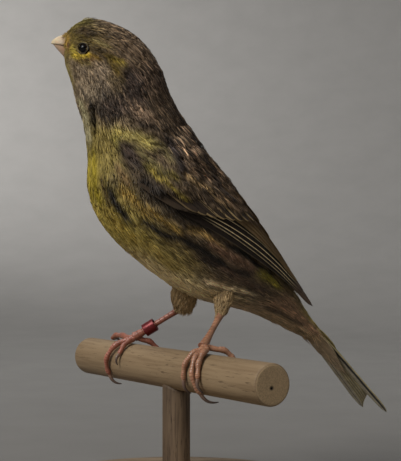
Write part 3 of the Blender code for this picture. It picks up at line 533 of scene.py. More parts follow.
def patchy(station, angle, rows, columns, seed):
    """Smooth seeded noise from 0 to 1 over the body: random heights on a grid of stations and angles,
    eased from one to the next, which meets itself round the body."""
    heights = np.random.default_rng(seed).random((rows + 2, columns))
    down = np.clip(station, 0, 15) / 15 * rows
    across = (angle / 360 * columns) % columns
    row, column = down.astype(int), across.astype(int)
    part, share = down - row, across - column
    part, share = part * part * (3 - 2 * part), share * share * (3 - 2 * share)
    column, beyond = column % columns, (column + 1) % columns
    upper = heights[row, column] * (1 - share) + heights[row, beyond] * share
    lower = heights[row + 1, column] * (1 - share) + heights[row + 1, beyond] * share
    return upper * (1 - part) + lower * part


GAIN = 3.3
# Name, one end's station and angle from the back, the other's, half width, screen colour, strength
MARKINGS = (
    ("nape", 5.2, 20, 4.6, 70, 10.0, (72, 58, 47), 1.0),
    ("mantle", 7.4, 0, 9.4, 20, 13.5, (82, 66, 50), 1.0),
    ("dark mantle", 7.4, 48, 8.3, 54, 1.2, (36, 28, 24), 0.95),
    ("tan mantle", 7.8, 40, 8.6, 50, 0.8, (120, 98, 76), 0.9),
    ("hind dark mantle", 8.4, 58, 9.0, 52, 1.2, (34, 26, 21), 0.95),
    ("hind tan mantle", 8.7, 64, 9.3, 60, 0.6, (116, 95, 70), 0.9),
    ("upper dark mantle", 6.4, 30, 7.3, 38, 1.2, (38, 29, 25), 0.9),
    ("upper tan mantle", 6.6, 44, 7.4, 54, 0.8, (118, 97, 78), 0.85),
    ("crown", 2.5, 40, 4.0, 30, 8.5, (96, 80, 62), 1.0),
    ("side of head", 3.5, 66, 4.6, 56, 4.5, (80, 65, 50), 0.9),
    ("rump", 12.0, 0, 14.0, 20, 9.0, (84, 72, 44), 1.0),
    ("breast", 6.6, 180, 9.0, 168, 14.0, (104, 92, 45), 1.0),
    ("belly", 9.2, 170, 10.2, 160, 11.0, (122, 108, 50), 1.0),
    # The belly's own paler tone, made lighter still as painted light against the shade from above
    ("pale belly with painted light", 10.5, 180, 11.8, 158, 9.5, (150, 137, 104), 1.0),
    ("vent", 12.6, 180, 13.4, 120, 9.5, (124, 106, 82), 1.0),
    ("under the tail", 14.2, 180, 14.8, 110, 9.0, (132, 114, 88), 1.0),
    ("side of the tail's root", 12.8, 92, 14.8, 90, 2.8, (128, 102, 79), 0.95),
    ("olive over the tail", 13.8, 40, 15.4, 40, 2.2, (116, 104, 56), 0.9),
    ("throat", 3.2, 180, 5.0, 172, 3.5, (98, 86, 66), 1.0),
    ("face", 0.8, 110, 2.1, 80, 5.0, (78, 66, 28), 1.0),
    ("chin", 1.0, 172, 2.5, 156, 2.6, (90, 80, 40), 1.0),
    ("cheek", 3.3, 128, 4.6, 128, 5.2, (106, 92, 73), 1.0),
    ("pale cheek", 4.2, 142, 4.8, 124, 2.2, (115, 102, 83), 1.0),
    ("hind cheek", 4.2, 98, 4.75, 110, 2.4, (112, 98, 80), 0.95),
    ("forehead", 0.9, 20, 1.9, 24, 3.4, (80, 72, 30), 1.0),
    ("forehead's side", 0.9, 50, 1.7, 70, 1.8, (72, 60, 22), 1.0),
    ("brown over the eye", 2.0, 60, 2.7, 64, 1.9, (50, 38, 21), 0.95),
    ("dark brow", 2.3, 80, 2.9, 74, 1.0, (52, 41, 10), 0.95),
    ("nostril tuft", 0.2, 60, 0.8, 84, 1.1, (128, 100, 40), 1.0),
    ("corner of the mouth", 1.1, 92, 1.5, 106, 0.8, (78, 54, 28), 0.95),
    ("before the eye", 1.9, 88, 2.2, 90, 0.8, (64, 53, 22), 0.8),
    ("lores", 1.8, 102, 2.3, 104, 1.1, (108, 95, 34), 1.0),
    ("crescent's front", 2.2, 113, 2.8, 108, 1.0, (120, 104, 30), 1.0),
    ("crescent", 2.8, 107, 3.3, 98, 0.8, (126, 107, 22), 1.0),
    ("crescent's end", 3.4, 97, 3.75, 92, 0.75, (84, 64, 14), 1.0),
    ("under the crescent", 2.8, 116, 3.6, 100, 0.6, (72, 52, 26), 0.9),
    ("olive under the crescent", 3.1, 114, 3.5, 107, 0.8, (76, 64, 26), 0.8),
    ("dark chin", 2.7, 126, 3.2, 140, 0.9, (52, 41, 22), 0.85),
    ("eye stripe", 3.2, 88, 4.0, 78, 1.4, (46, 34, 9), 1.0),
    ("brow", 2.8, 75, 3.4, 71, 1.0, (78, 65, 32), 0.9),
    ("pale brow", 3.1, 74, 3.7, 68, 0.5, (104, 93, 58), 0.85),
    ("ear", 4.08, 79.5, 4.42, 73, 1.3, (100, 85, 22), 1.0),
    ("hind ear", 4.15, 84, 4.75, 87, 1.6, (72, 58, 18), 1.0),
    ("under the ear", 4.6, 96, 5.0, 100, 1.5, (82, 69, 46), 0.9),
    ("behind the ear", 4.3, 64, 4.7, 58, 1.4, (92, 77, 58), 0.8),
    ("dark behind the ear", 4.9, 76, 5.6, 86, 3.2, (56, 45, 38), 0.95),
    ("side of neck", 5.35, 121, 6.0, 106, 3.4, (70, 58, 49), 0.95),
    ("dark throat", 5.25, 134, 5.95, 140, 1.6, (50, 42, 32), 0.9),
    ("tan side of neck", 5.7, 95, 6.2, 86, 1.9, (130, 109, 88), 0.95),
    ("base of neck", 5.9, 140, 6.25, 108, 1.9, (98, 84, 62), 0.85),
    ("pale throat", 4.7, 160, 6.2, 176, 2.0, (120, 113, 86), 1.0),
    # Painted shadow: the parting between the throat's feathers is painted near black
    ("throat's parting", 4.95, 140, 5.95, 158, 0.95, (7, 6, 4), 1.0),
    ("spot on the neck", 4.75, 117, 4.95, 123, 0.65, (12, 10, 8), 1.0),
    ("front of shoulder", 6.2, 145, 7.2, 142, 2.7, (110, 97, 51), 0.95),
    ("bright breast", 7.0, 173, 8.3, 174, 2.5, (103, 91, 23), 1.0),
    ("shoulder", 6.3, 129, 6.9, 98, 1.9, (142, 130, 75), 1.0),
    ("shoulder's front", 6.5, 131, 6.9, 130, 1.5, (118, 108, 50), 0.9),
    ("shoulder's fall", 7.0, 112, 7.6, 104, 1.2, (112, 101, 64), 0.95),
    ("shoulder's gap", 6.4, 96, 6.6, 83, 0.8, (34, 27, 20), 0.95),
    ("bend of the wing", 7.0, 125, 8.3, 116, 3.6, (40, 31, 24), 1.0),
    ("purple bend", 6.9, 125, 7.2, 120, 1.0, (64, 51, 44), 0.8),
    ("grey tips", 7.6, 124, 7.9, 113, 1.0, (70, 59, 43), 0.8),
    ("olive of the wing", 7.6, 111, 8.0, 93, 1.4, (80, 71, 26), 0.9),
    ("over the olive", 7.1, 88, 7.5, 89, 1.5, (98, 88, 54), 0.8),
    ("dark scapular", 7.0, 79, 8.05, 85, 1.9, (42, 34, 31), 1.0),
    ("scapular tips", 8.1, 85, 8.5, 69, 1.0, (126, 104, 70), 0.95),
    ("olive band", 7.7, 108, 8.95, 89.5, 0.75, (106, 92, 36), 1.0),
    ("brown over the coverts", 8.65, 77, 9.2, 67, 1.5, (42, 33, 24), 0.85),
    ("tan over the coverts", 8.75, 71, 9.3, 62, 0.5, (112, 91, 62), 0.9),
    ("tan scapular", 7.2, 71, 8.0, 73, 0.7, (126, 103, 80), 0.95),
    ("dark between the tans", 7.3, 66, 8.1, 68, 0.6, (40, 31, 25), 0.9),
    ("second tan scapular", 7.4, 61, 8.2, 62, 0.7, (120, 97, 77), 0.95),
    ("breast side", 7.7, 146, 7.9, 140, 1.3, (80, 70, 46), 0.8),
    ("buff flank", 7.5, 138, 7.9, 133, 1.2, (106, 86, 56), 0.9),
    ("ochre flank", 8.1, 139, 8.9, 129, 1.4, (112, 92, 42), 1.0),
    ("fore dark streak", 8.05, 152, 8.95, 149, 1.9, (13, 10, 8), 1.0),
    ("streak before it", 7.7, 159, 8.5, 158, 1.1, (66, 54, 29), 0.95),
    ("grey under the bend", 7.9, 127, 8.7, 122, 1.1, (72, 62, 44), 0.8),
    # Dark feathers and painted shade under the folded wing
    ("dark and painted shade under the wing", 8.1, 116, 9.6, 93, 2.8, (28, 22, 16), 1.0),
    ("lower breast", 8.7, 166, 9.5, 158, 3.0, (112, 96, 40), 0.9),
    ("second ochre", 8.8, 123, 9.5, 113, 1.1, (118, 96, 44), 1.0),
    ("dark flank", 9.1, 135, 9.75, 121, 1.35, (20, 16, 12), 1.0),
    ("third ochre", 9.5, 105, 10.2, 90, 1.2, (132, 108, 62), 1.0),
    ("dark hind flank", 9.75, 116, 10.6, 102, 1.85, (22, 18, 14), 1.0),
    ("red-brown flank", 10.1, 95, 11.1, 83, 1.8, (104, 80, 62), 0.9),
    ("lowest dark flank", 10.3, 116, 11.2, 90, 1.6, (34, 26, 20), 0.95),
    # Dark feathers and painted shadow under the wing's tips
    ("dark and painted shadow by the tips", 10.2, 82, 11.5, 66, 1.5, (14, 11, 8), 1.0),
    ("olive belly", 9.8, 146, 10.4, 148, 2.4, (120, 105, 54), 0.9),
    ("pale wisps", 11.1, 130, 12.0, 108, 1.2, (166, 150, 120), 0.95),
    ("lower wisps", 11.5, 140, 12.2, 122, 0.6, (164, 148, 116), 0.9),
    ("dark between the wisps", 11.4, 135, 12.1, 116, 0.35, (70, 56, 42), 0.7),
    ("brown over the wisps", 10.8, 106, 11.9, 95, 1.4, (76, 60, 47), 0.8),
    ("rump spot", 11.5, 74, 12.0, 69, 1.9, (120, 110, 36), 0.95),
    ("dark under the tail", 12.8, 129, 14.1, 111, 1.0, (46, 38, 29), 0.8),
)
# Where dark centres show through, and how strongly: station, angle, reach in stations and degrees, share
STREAKED = (
    (3.4, 0, 1.7, 78, 0.9),
    (5.2, 40, 1.1, 80, 0.85),
    (7.5, 20, 2.4, 78, 1.0),
    (9.8, 112, 1.6, 26, 0.5),
    (12.3, 100, 1.4, 50, 0.45),
    (14.2, 120, 1.2, 60, 0.3),
    (4.2, 122, 1.4, 46, 0.5),
    (5.4, 110, 0.9, 40, 0.85),
    (8.6, 140, 0.8, 18, 0.35),
)
STREAK_DARK = seen(22, 16, 12)


def near(station, angle, at, round_at, reach, spread):
    """How far a place is inside an oval of the body, from 0 to 1, with a soft edge."""
    away = ((station - at) / reach) ** 2 + ((np.abs(angle) - round_at) / spread) ** 2
    return np.exp(-(away**1.6))


def drawn(station, angle, start, start_angle, end, end_angle, half):
    """How far a place is inside a stroke between two places of the body, from 0 to 1: half is the stroke's
    half width in millimetres, by the body's own size at its middle."""
    middle = np.array([(start + end) / 2, (start + end) / 2 + 0.05, (start + end) / 2])
    about = np.array([(start_angle + end_angle) / 2] * 2 + [(start_angle + end_angle) / 2 + 2])
    place, next_place, beside = body_at(middle, about, 0 * middle)
    per_station = np.linalg.norm(next_place - place) / 0.05
    per_degree = np.linalg.norm(beside - place) / 2
    u, v = (station - start) * per_station, (np.abs(angle) - start_angle) * per_degree
    end_u, end_v = (end - start) * per_station, (end_angle - start_angle) * per_degree
    part = np.clip((u * end_u + v * end_v) / max(end_u**2 + end_v**2, 1e-6), 0, 1)
    return np.exp(-((np.hypot(u - end_u * part, v - end_v * part) / half) ** 2.6))


def markings(station, angle):
    """The plumage's colour and the share of dark streaks, at stations and angles of the body."""
    angle = (angle + 180) % 360 - 180
    station = station + 0.22 * (patchy(station, angle, 40, 36, 3) - 0.5)
    angle = angle + 5 * (patchy(station, angle, 34, 30, 4) - 0.5)
    colour = np.broadcast_to(seen(74, 61, 46), (*station.shape, 3)).copy()
    for _, start, start_angle, end, end_angle, half, tone, strength in MARKINGS:
        share = (drawn(station, angle, start, start_angle, end, end_angle, half) * strength)[..., None]
        colour = colour * (1 - share) + seen(*tone) * share
    streaks = np.zeros(station.shape)
    for at, round_at, reach, spread, share in STREAKED:
        streaks = np.maximum(streaks, near(station, angle, at, round_at, reach, spread) * share)
    return colour * GAIN, streaks


def coat_depth(station):
    """The depth of the plumage over the skin."""
    return follow(COAT, station)[..., 4]


plumage, tree, shader = finish_of("plumage", 0.72, 0.28, Sheen_Weight=0.08, Sheen_Roughness=0.5)
worn = noise(tree, 700.0, detail=2.0)
tint = node(tree, "Attribute", attribute_name="plumage").outputs["Color"]
shadowed = mix(tree, 1.0, tint, ramp(tree, worn, (0.3, 0.82), (0.7, 1.12)), "MULTIPLY")
tree.links.new(shadowed, shader.inputs["Base Color"])
bump(tree, shader, noise(tree, 2600.0, detail=1.0), 0.00003, 0.5)

# The skin's markings are darkened to between 0.3 and 0.75 of their tone: the grey down's own colour and painted shade
# in the gaps between feathers
skin_finish, tree, shader = finish_of("skin", 0.8, 0.2)
tint = node(tree, "Attribute", attribute_name="plumage").outputs["Color"]
down = noise(tree, 1500.0, detail=4.0)
tree.links.new(mix(tree, 1.0, tint, ramp(tree, down, (0.3, 0.3), (0.7, 0.75)), "MULTIPLY"), shader.inputs["Base Color"])
bump(tree, shader, down, 0.0002)

skin_station, skin_angle = np.meshgrid(np.linspace(0, 15, 181), np.arange(0, 360, 3.0), indexing="ij")
skin_points = coat_at(skin_station, skin_angle, -coat_depth(skin_station))
skin_colour = markings(skin_station, skin_angle)[0]
skin = piece(
    "skin",
    skin_points + BIRD_PLACE,
    [grid(181, 120), ends(181, 120)],
    skin_finish,
    plumage=skin_colour.reshape(-1, 3),
)
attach(skin, "root")
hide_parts("head", "neck", "torso", "rump")

# The eyes: dark glass-like globes with a deep brown iris, set in the head so that half of each shows, each within a
# thin ring of dark wrinkled lid that is pale at its rear corner.

EYE_PLACE = (-27.0, 95.8)
EYE_REACH = 7.85
EYE_FORWARD = math.radians(22)
EYE_RADIUS = 1.85
EYE_DEPTH = 1.25
LID_RADIUS = 1.62
LID_HALF = 0.13

eye_finish, tree, shader = finish_of("eye", 0.21, 0.24)
ring = node(tree, "Attribute", attribute_name="from_pupil").outputs["Fac"]
iris = ramp(tree, ring, (0.0, (0.002, 0.002, 0.002)), (0.42, (0.002, 0.002, 0.002)), (0.5, (0.02, 0.009, 0.004)), (0.9, (0.008, 0.004, 0.003)))
tree.links.new(iris, shader.inputs["Base Color"])
lid_finish, tree, shader = finish_of("lid", 0.5, 0.4)
wrinkle = noise(tree, 1500.0, detail=3.0)
bare = ramp(tree, wrinkle, (0.3, (0.014, 0.011, 0.006)), (0.7, (0.06, 0.05, 0.03)))
corner = node(tree, "Attribute", attribute_name="corner").outputs["Fac"]
tree.links.new(mix(tree, corner, bare, (0.42, 0.38, 0.30)), shader.inputs["Base Color"])
bump(tree, shader, wrinkle, 0.00008)


def eye_of(side):
    """The eyeball's centre and the direction that it looks in."""
    aim = np.array([-math.sin(EYE_FORWARD), side * math.cos(EYE_FORWARD), 0.03])
    aim /= np.linalg.norm(aim)
    centre = np.array([EYE_PLACE[0], side * EYE_REACH, EYE_PLACE[1]]) - aim * EYE_DEPTH
    return head_turned(centre, 30), head_turned(centre + aim, 30) - head_turned(centre, 30)


EYES = [eye_of(-1), eye_of(1)]
for (eye_centre, eye_aim), side in zip(EYES, ("left", "right")):
    eye_side = np.cross(eye_aim, VIEW_UP)
    eye_side /= np.linalg.norm(eye_side)
    eye_up = np.cross(eye_side, eye_aim)
    # Globe: rings from the pupil to the back, by the angle from the aim, bulged a little at the cornea
    polar = np.linspace(0.02, math.pi - 0.02, 40)[:, None]
    about = np.linspace(0, 2 * math.pi, 49)[:-1]
    bulge = EYE_RADIUS * (1 + 0.05 * np.exp(-((polar / 0.5) ** 2)))
    globe = eye_centre + bulge[..., None] * (
        np.cos(polar)[..., None] * eye_aim
        + np.sin(polar)[..., None] * (np.cos(about)[:, None] * eye_side + np.sin(about)[:, None] * eye_up)
    )
    eye = piece(
        "eye_ball_" + side,
        globe + BIRD_PLACE,
        [grid(40, 48), ends(40, 48)],
        eye_finish,
        from_pupil=np.repeat(polar.ravel() / (math.pi / 2), 48),
    )
    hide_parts("eye_" + side)
    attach(eye, "root")
    # Lid: a ring drawn out at its two corners, round in section, pinched by fine wrinkles
    turn, section = np.meshgrid(np.linspace(0, 2 * math.pi, 97)[:-1], np.linspace(0, 2 * math.pi, 13)[:-1], indexing="ij")
    reach = LID_RADIUS * (1 + 0.10 * np.cos(turn) ** 8 - 0.05 * np.sin(turn) ** 4)
    half = LID_HALF * (1 + 0.12 * np.sin(turn * 17) + 0.08 * np.sin(turn * 41))
    outwards = np.cos(turn)[..., None] * eye_side + np.sin(turn)[..., None] * eye_up
    rise = np.sqrt(np.maximum(EYE_RADIUS**2 - (reach * 0.86) ** 2, 0)) + 0.18
    lid_points = (
        eye_centre
        + (reach + half * np.cos(section))[..., None] * outwards
        + (rise + half * 1.3 * np.sin(section))[..., None] * eye_aim
    )
    lid_faces = grid(97, 12) % (96 * 12)
    backwards = head_turned(np.array([1.0, 0.0, 0.0]), 30.0) - head_turned(np.zeros(3), 30.0)
    corner = np.clip(outwards @ backwards, 0, 1) ** 14
    lid = piece("lid_" + side, lid_points + BIRD_PLACE, [lid_faces], lid_finish, corner=corner)
    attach(lid, "root")

# The body's plumage: overlapping contour feathers, each a fan of fine barbs that rises from the skin and
# lies back along the body. They are smallest on the face, and longest and loosest on belly and flank.

BARB_STEPS = np.array([0.0, 0.36, 0.72, 1.0])
BARB_RISE = np.array([0.0, 0.74, 1.0, 0.96])
BARB_WIDTHS = np.array([0.6, 1.0, 0.72])


def tufts(name, surface, u, v, size, paint, unwrap, seed, barbs=9, wild=0.3, fan=1.0, clear_eyes=False):
    """Feathers at u and v of a surface, as one mesh. size holds each feather's length, width, barb width,
    depth, rise over the surface and sideways drift. Barb k of a feather, from -1 to 1, runs
    along(t) = length * t * (1 - 0.32 k^2) and sideways(t) = width/2 * k * t^0.8 + drift * along(t), at a
    height that climbs from the skin to the rise. Each is a three-sided blade that ends in a point."""
    draw = np.random.default_rng(seed)
    length, width, barb_width, depth, rise, drift = (np.asarray(s, float) + 0 * u for s in size)
    step = 0.02
    span_u = np.linalg.norm(surface(u + step, v, 0 * u) - surface(u - step, v, 0 * u), axis=-1) / (2 * step)
    span_v = np.linalg.norm(surface(u, v + step, 0 * u) - surface(u, v - step, 0 * u), axis=-1) / (2 * step)
    span_u, span_v = np.maximum(span_u, 1e-3), np.maximum(span_v, 1e-3)
    feathers = len(u)
    shape = (feathers, barbs)
    k = np.linspace(-1, 1, barbs) + draw.uniform(-0.5, 0.5, shape) / barbs
    reach = length[:, None] * (1 - 0.32 * k**2) * draw.uniform(1 - wild * 0.5, 1 + wild * 0.3, shape)
    lean = draw.normal(0, 0.10 * wild / 0.3, shape)
    t = BARB_STEPS
    along = reach[..., None] * t
    sideways = (
        width[:, None, None] / 2 * k[..., None] * fan * t**0.8
        + drift[:, None, None] * along * (1.25 - 0.5 * t)
        + lean[..., None] * along
        + draw.normal(0, 0.10, (feathers, barbs, 1)) * t**2 * width[:, None, None]
    )
    lift = rise[:, None] + np.abs(draw.normal(0, 0.16 * wild / 0.3, shape)) - 0.22 * k**2 * width[:, None] / 3
    height = -depth[:, None, None] + (depth[:, None] + lift)[..., None] * BARB_RISE
    path_u = u[:, None, None] + along / span_u[:, None, None]
    path_v = v[:, None, None] + sideways / span_v[:, None, None]
    path = surface(path_u, path_v, height)
    if clear_eyes:
        # Barbs part round each eye: a point inside the lid's ring moves straight out of it
        for centre, aim in EYES:
            away = path - centre
            ahead = away @ aim
            beside = away - ahead[..., None] * aim
            gap = np.linalg.norm(beside, axis=-1)
            push = np.where(ahead > 0, np.clip(LID_RADIUS + 0.22 - gap, 0, None), 0) / np.maximum(gap, 1e-6)
            path = path + beside * push[..., None]
    upwards = surface(path_u, path_v, height + 1.0) - surface(path_u, path_v, height)
    upwards /= np.linalg.norm(upwards, axis=-1, keepdims=True)
    forwards = np.gradient(path, axis=2)
    forwards /= np.maximum(np.linalg.norm(forwards, axis=-1, keepdims=True), 1e-9)
    beside = np.cross(forwards, upwards)
    beside /= np.maximum(np.linalg.norm(beside, axis=-1, keepdims=True), 1e-9)
    roll = draw.normal(0, 0.35 * min(wild / 0.3, 1), (feathers, barbs, 1, 1))
    edge = (beside * np.cos(roll) + upwards * np.sin(roll))[:, :, :3]
    ridge = (upwards * np.cos(roll) - beside * np.sin(roll))[:, :, :3]
    half = (barb_width[:, None, None] / 2 * BARB_WIDTHS)[..., None]
    body = path[:, :, :3]
    rings = np.stack([body - edge * half, body + edge * half, body + ridge * half * 0.7], 3)
    points = np.concatenate([rings.reshape(feathers, barbs, 9, 3), path[:, :, 3:]], 2)
    colour = paint(path_u, path_v, k, draw)
    per_point = np.concatenate([np.repeat(colour[:, :, :3], 3, 2), colour[:, :, 3:]], 2)
    root = np.stack(unwrap(u, v), -1)[:, None, None]
    patch_u = np.broadcast_to((k * 0.0013)[..., None], (feathers, barbs, 10))
    patch_v = np.broadcast_to(np.append(np.repeat(t[:3], 3), 1.0) * 0.003 - 0.0015, (feathers, barbs, 10))
    uv = root + np.stack([patch_u, patch_v], -1)
    count = feathers * barbs
    first = np.arange(count)[:, None, None] * 10
    walls = np.concatenate([grid(2, 3, start=0), grid(2, 3, start=3)])
    tip = np.array([(6, 7, 9), (7, 8, 9), (8, 6, 9), (2, 1, 0)])
    faces = [(first + walls).reshape(-1, 4), (first + tip).reshape(-1, 3)]
    made = piece(
        name, points.reshape(-1, 3) + BIRD_PLACE, faces, plumage, uv=uv.reshape(-1, 2), uv_map="OFBake", plumage=per_point.reshape(-1, 3)
    )
    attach(made, "root")
    return made


def body_paint(centres, lines):
    """A painter of the body's barbs, with weights for the dark centres of feathers and for dark lines that
    run on from one to the next. Markings are read where a barb lies. Its own shade, its feather's shade
    and the dark streak, strongest at k = 0, are laid over them."""

    def paint(path_u, path_v, k, draw):
        station, angle = path_u[:, :, 1:], path_v[:, :, 1:]
        colour, streaks = markings(station, angle)
        run = np.clip((patchy(station, angle, 26, 90, 11) - 0.42) / 0.16, 0, 1)
        spread = np.clip(streaks, 0, 1)[:, :, :1, None]
        centre = np.exp(-((k[..., None] / 0.42) ** 4))
        dark = np.clip(streaks * (centres * centre + lines * run), 0, 0.93)[..., None]
        own = np.exp(draw.normal(-0.06, 0.13 + 0.45 * spread) + draw.normal(0.0, 0.13, (len(k), 1, 1, 1)))
        hair = draw.random((*k.shape, 1, 1)) > 0.9
        colour = colour * np.clip(own, 0.25, 1.8)
        colour = np.where(hair, colour * 1.28 + 0.03, colour)
        edge = streaks[..., None] * centres * np.clip(np.abs(k)[..., None, None] - 0.42, 0, 1) * 2.1
        colour = colour * (1 + edge)
        colour = colour * (1 - dark) + STREAK_DARK * GAIN * dark
        root = colour[:, :, :1] * (0.82 - 0.34 * spread)
        return np.concatenate([root, colour * np.array([0.95, 1.0, 1.12])[:, None]], 2)

    return paint


def spread_roots(count, stations, angles, weight):
    """Evenly spread places over the body, count of them, by their share of weight per square millimetre:
    points of the plastic-number sequence go through the summed weights, first round and then along."""
    station, angle = np.meshgrid(stations, angles, indexing="xy")
    along = np.linalg.norm(body_at(station + 0.02, angle, 0 * angle) - body_at(station - 0.02, angle, 0 * angle), axis=-1)
    across = np.linalg.norm(body_at(station, angle + 0.5, 0 * angle) - body_at(station, angle - 0.5, 0 * angle), axis=-1)
    share = along / 0.04 * across * weight(station, angle)
    if count is None:
        count = int(share.sum() * (stations[1] - stations[0]) * (angles[1] - angles[0]))
    order = np.arange(count)
    u, v = (0.5 + order * 0.7548776662) % 1, (0.5 + order * 0.5698402910) % 1
    round_sum = np.concatenate([[0], np.cumsum(share.sum(1))])
    row = np.interp(u * round_sum[-1], round_sum, np.arange(len(angles) + 1))
    whole = np.minimum(row.astype(int), len(angles) - 1)
    along_sum = np.concatenate([np.zeros((len(angles), 1)), np.cumsum(share, 1)], 1)
    along_sum /= along_sum[:, -1:]
    flat = (along_sum + np.arange(len(angles))[:, None]).ravel()
    spot = np.interp(whole + np.clip(v, 1e-6, 1 - 1e-6), flat, np.tile(np.arange(len(stations) + 1.0), len(angles)))
    root_station = stations[0] + (stations[-1] - stations[0]) * spot / len(stations)
    root_angle = angles[0] + (row / len(angles)) * (angles[-1] - angles[0])
    return root_station, root_angle


def feather_size(station, angle):
    """Length, width, barb width and depth of the feathers at a place of the body."""
    back, belly, width, barb, depth = np.moveaxis(follow(COAT, station), -1, 0)
    share = (1 - np.cos(np.radians(angle))) / 2
    return back + (belly - back) * share, width, barb, depth


def crowding(station, angle):
    """Feathers for each square millimetre: one for each quarter of a length by under half a width."""
    length, width, _, _ = feather_size(station, angle)
    return 1 / (0.27 * length * 0.46 * width)


def rows_of_roots(first, last, outer, along_gap, across_gap, draw):
    """Places in staggered rows from one station to another, out to an angle on both sides: each row is
    half a gap off the one before, and every place is a little astray."""
    station, found = first, []
    while station < last:
        line = body_at(np.array([station, station + 0.05]), np.array([40.0, 40.0]), np.zeros(2))
        bow = body_at(np.full(2, station), np.array([-1.0, 1.0]) + 45, np.zeros(2))
        arc = 2 * outer * np.linalg.norm(bow[1] - bow[0]) / 2
        count = max(int(arc / across_gap), 2)
        angles = (np.arange(count) + 0.25 + 0.5 * (len(found) % 2)) / count * 2 * outer - outer
        found.append(np.stack([np.full(count, station), angles], 1))
        station += along_gap * 0.05 / np.linalg.norm(line[1] - line[0])
    found = np.concatenate(found)
    return found + draw.normal(0, 1, found.shape) * (0.06, 1.1)


def body_unwrap(station, angle):
    """The skin's own unwrap: round the body across, and from bill to tail upwards."""
    return (angle / 360) % 1 * 0.99 + 0.005, station / 15 * 0.98 + 0.01


# How feathers lean from the body's length towards the back, as a share of their length
LEANS = (
    (6.7, 118, 0.55, 30, 1.0),
    (9.7, 122, 1.5, 30, 0.34),
    (11.7, 125, 1.0, 34, 0.16),
    (3.8, 136, 1.1, 34, -0.36),
)
# How far feathers stand over or under the body's form, in millimetres
STANDS = (
    (3.1, 0, 2.4, 75, -0.35),
    (1.75, 24, 0.16, 14, 1.3),
    (14.9, 0, 0.9, 90, -0.05),
    (15.0, 180, 0.9, 60, -0.8),
    (5.0, 170, 0.6, 30, -0.55),
    (5.3, 160, 0.7, 12, 0.2),
    (6.1, 172, 0.9, 45, -0.75),
    (6.5, 0, 0.45, 60, -0.45),
    (7.6, 0, 0.55, 60, 0.55),
    (8.4, 0, 0.7, 60, 0.5),
    (8.6, 180, 2.6, 60, -0.75),
    (10.6, 176, 1.0, 40, -0.5),
    (11.4, 142, 0.8, 20, 1.7),
    (12.2, 150, 0.7, 50, 0.5),
)
# Distances along the folded wing, and the share of its height up to which the flight feathers show there
COVERT_LINE = ((4.0, 9.0, 13.0, 20.0, 27.0, 34.0, 42.0, 58.0), (0.0, 0.08, 0.20, 0.31, 0.40, 0.54, 0.72, 0.74))
BODY_REGIONS = (
    # name, stations, angles from the back, barbs, wildness, weights of dark centres and of dark lines
    ("coat_face", 0.0, 2.4, 62, 181, 6, 0.24, 0.2, 0.3),
    ("coat_cheek", 2.4, 4.4, 84, 181, 7, 0.26, 0.4, 0.7),
    ("coat_neck", 4.4, 6.2, 84, 181, 9, 0.3, 0.5, 0.6),
    ("coat_breast", 6.2, 8.9, 84, 181, 12, 0.15, 0.3, 0.5),
    ("coat_flank", 8.9, 12.0, 78, 130, 12, 0.3, 0.5, 0.6),
    ("coat_belly", 8.9, 12.0, 130, 181, 12, 0.28, 0.3, 0.5),
    ("coat_rump", 12.0, 15.1, 0, 181, 9, 0.36, 0.5, 0.5),
)
BACK_ROWS = (
    # name, stations, outer angle, gaps along and across, size factor, barbs, wildness
    ("coat_forehead", 0.15, 1.6, 66, 1.05, 0.62, 1.0, 6, 0.26),
    ("coat_crown", 1.6, 4.2, 86, 1.9, 1.0, 1.35, 9, 0.22),
    ("coat_nape", 4.2, 6.2, 86, 2.5, 1.35, 1.3, 10, 0.2),
    ("coat_mantle", 6.2, 12.0, 84, 3.6, 1.8, 1.15, 13, 0.22),
)
root_station, root_angle = spread_roots(None, np.linspace(0.02, 14.8, 400), np.arange(-179.5, 180.0, 1.0), crowding)
root_angle = (root_angle + 180) % 360 - 180
coat_order = np.random.default_rng(5)
sown = []
for name, first, last, inner, outer, barbs, wild, centres, lines in BODY_REGIONS:
    here = (root_station >= first) & (root_station < last)
    here &= (np.abs(root_angle) >= inner) & (np.abs(root_angle) < outer)
    sown.append((name, root_station[here], root_angle[here], 1.0, barbs, wild, centres, lines))
for name, first, last, outer, along_gap, across_gap, factor, barbs, wild in BACK_ROWS:
    rows = rows_of_roots(first, last, outer, along_gap, across_gap, coat_order)
    sown.append((name, rows[:, 0], rows[:, 1], factor, barbs, wild, 0.95, 0.2))
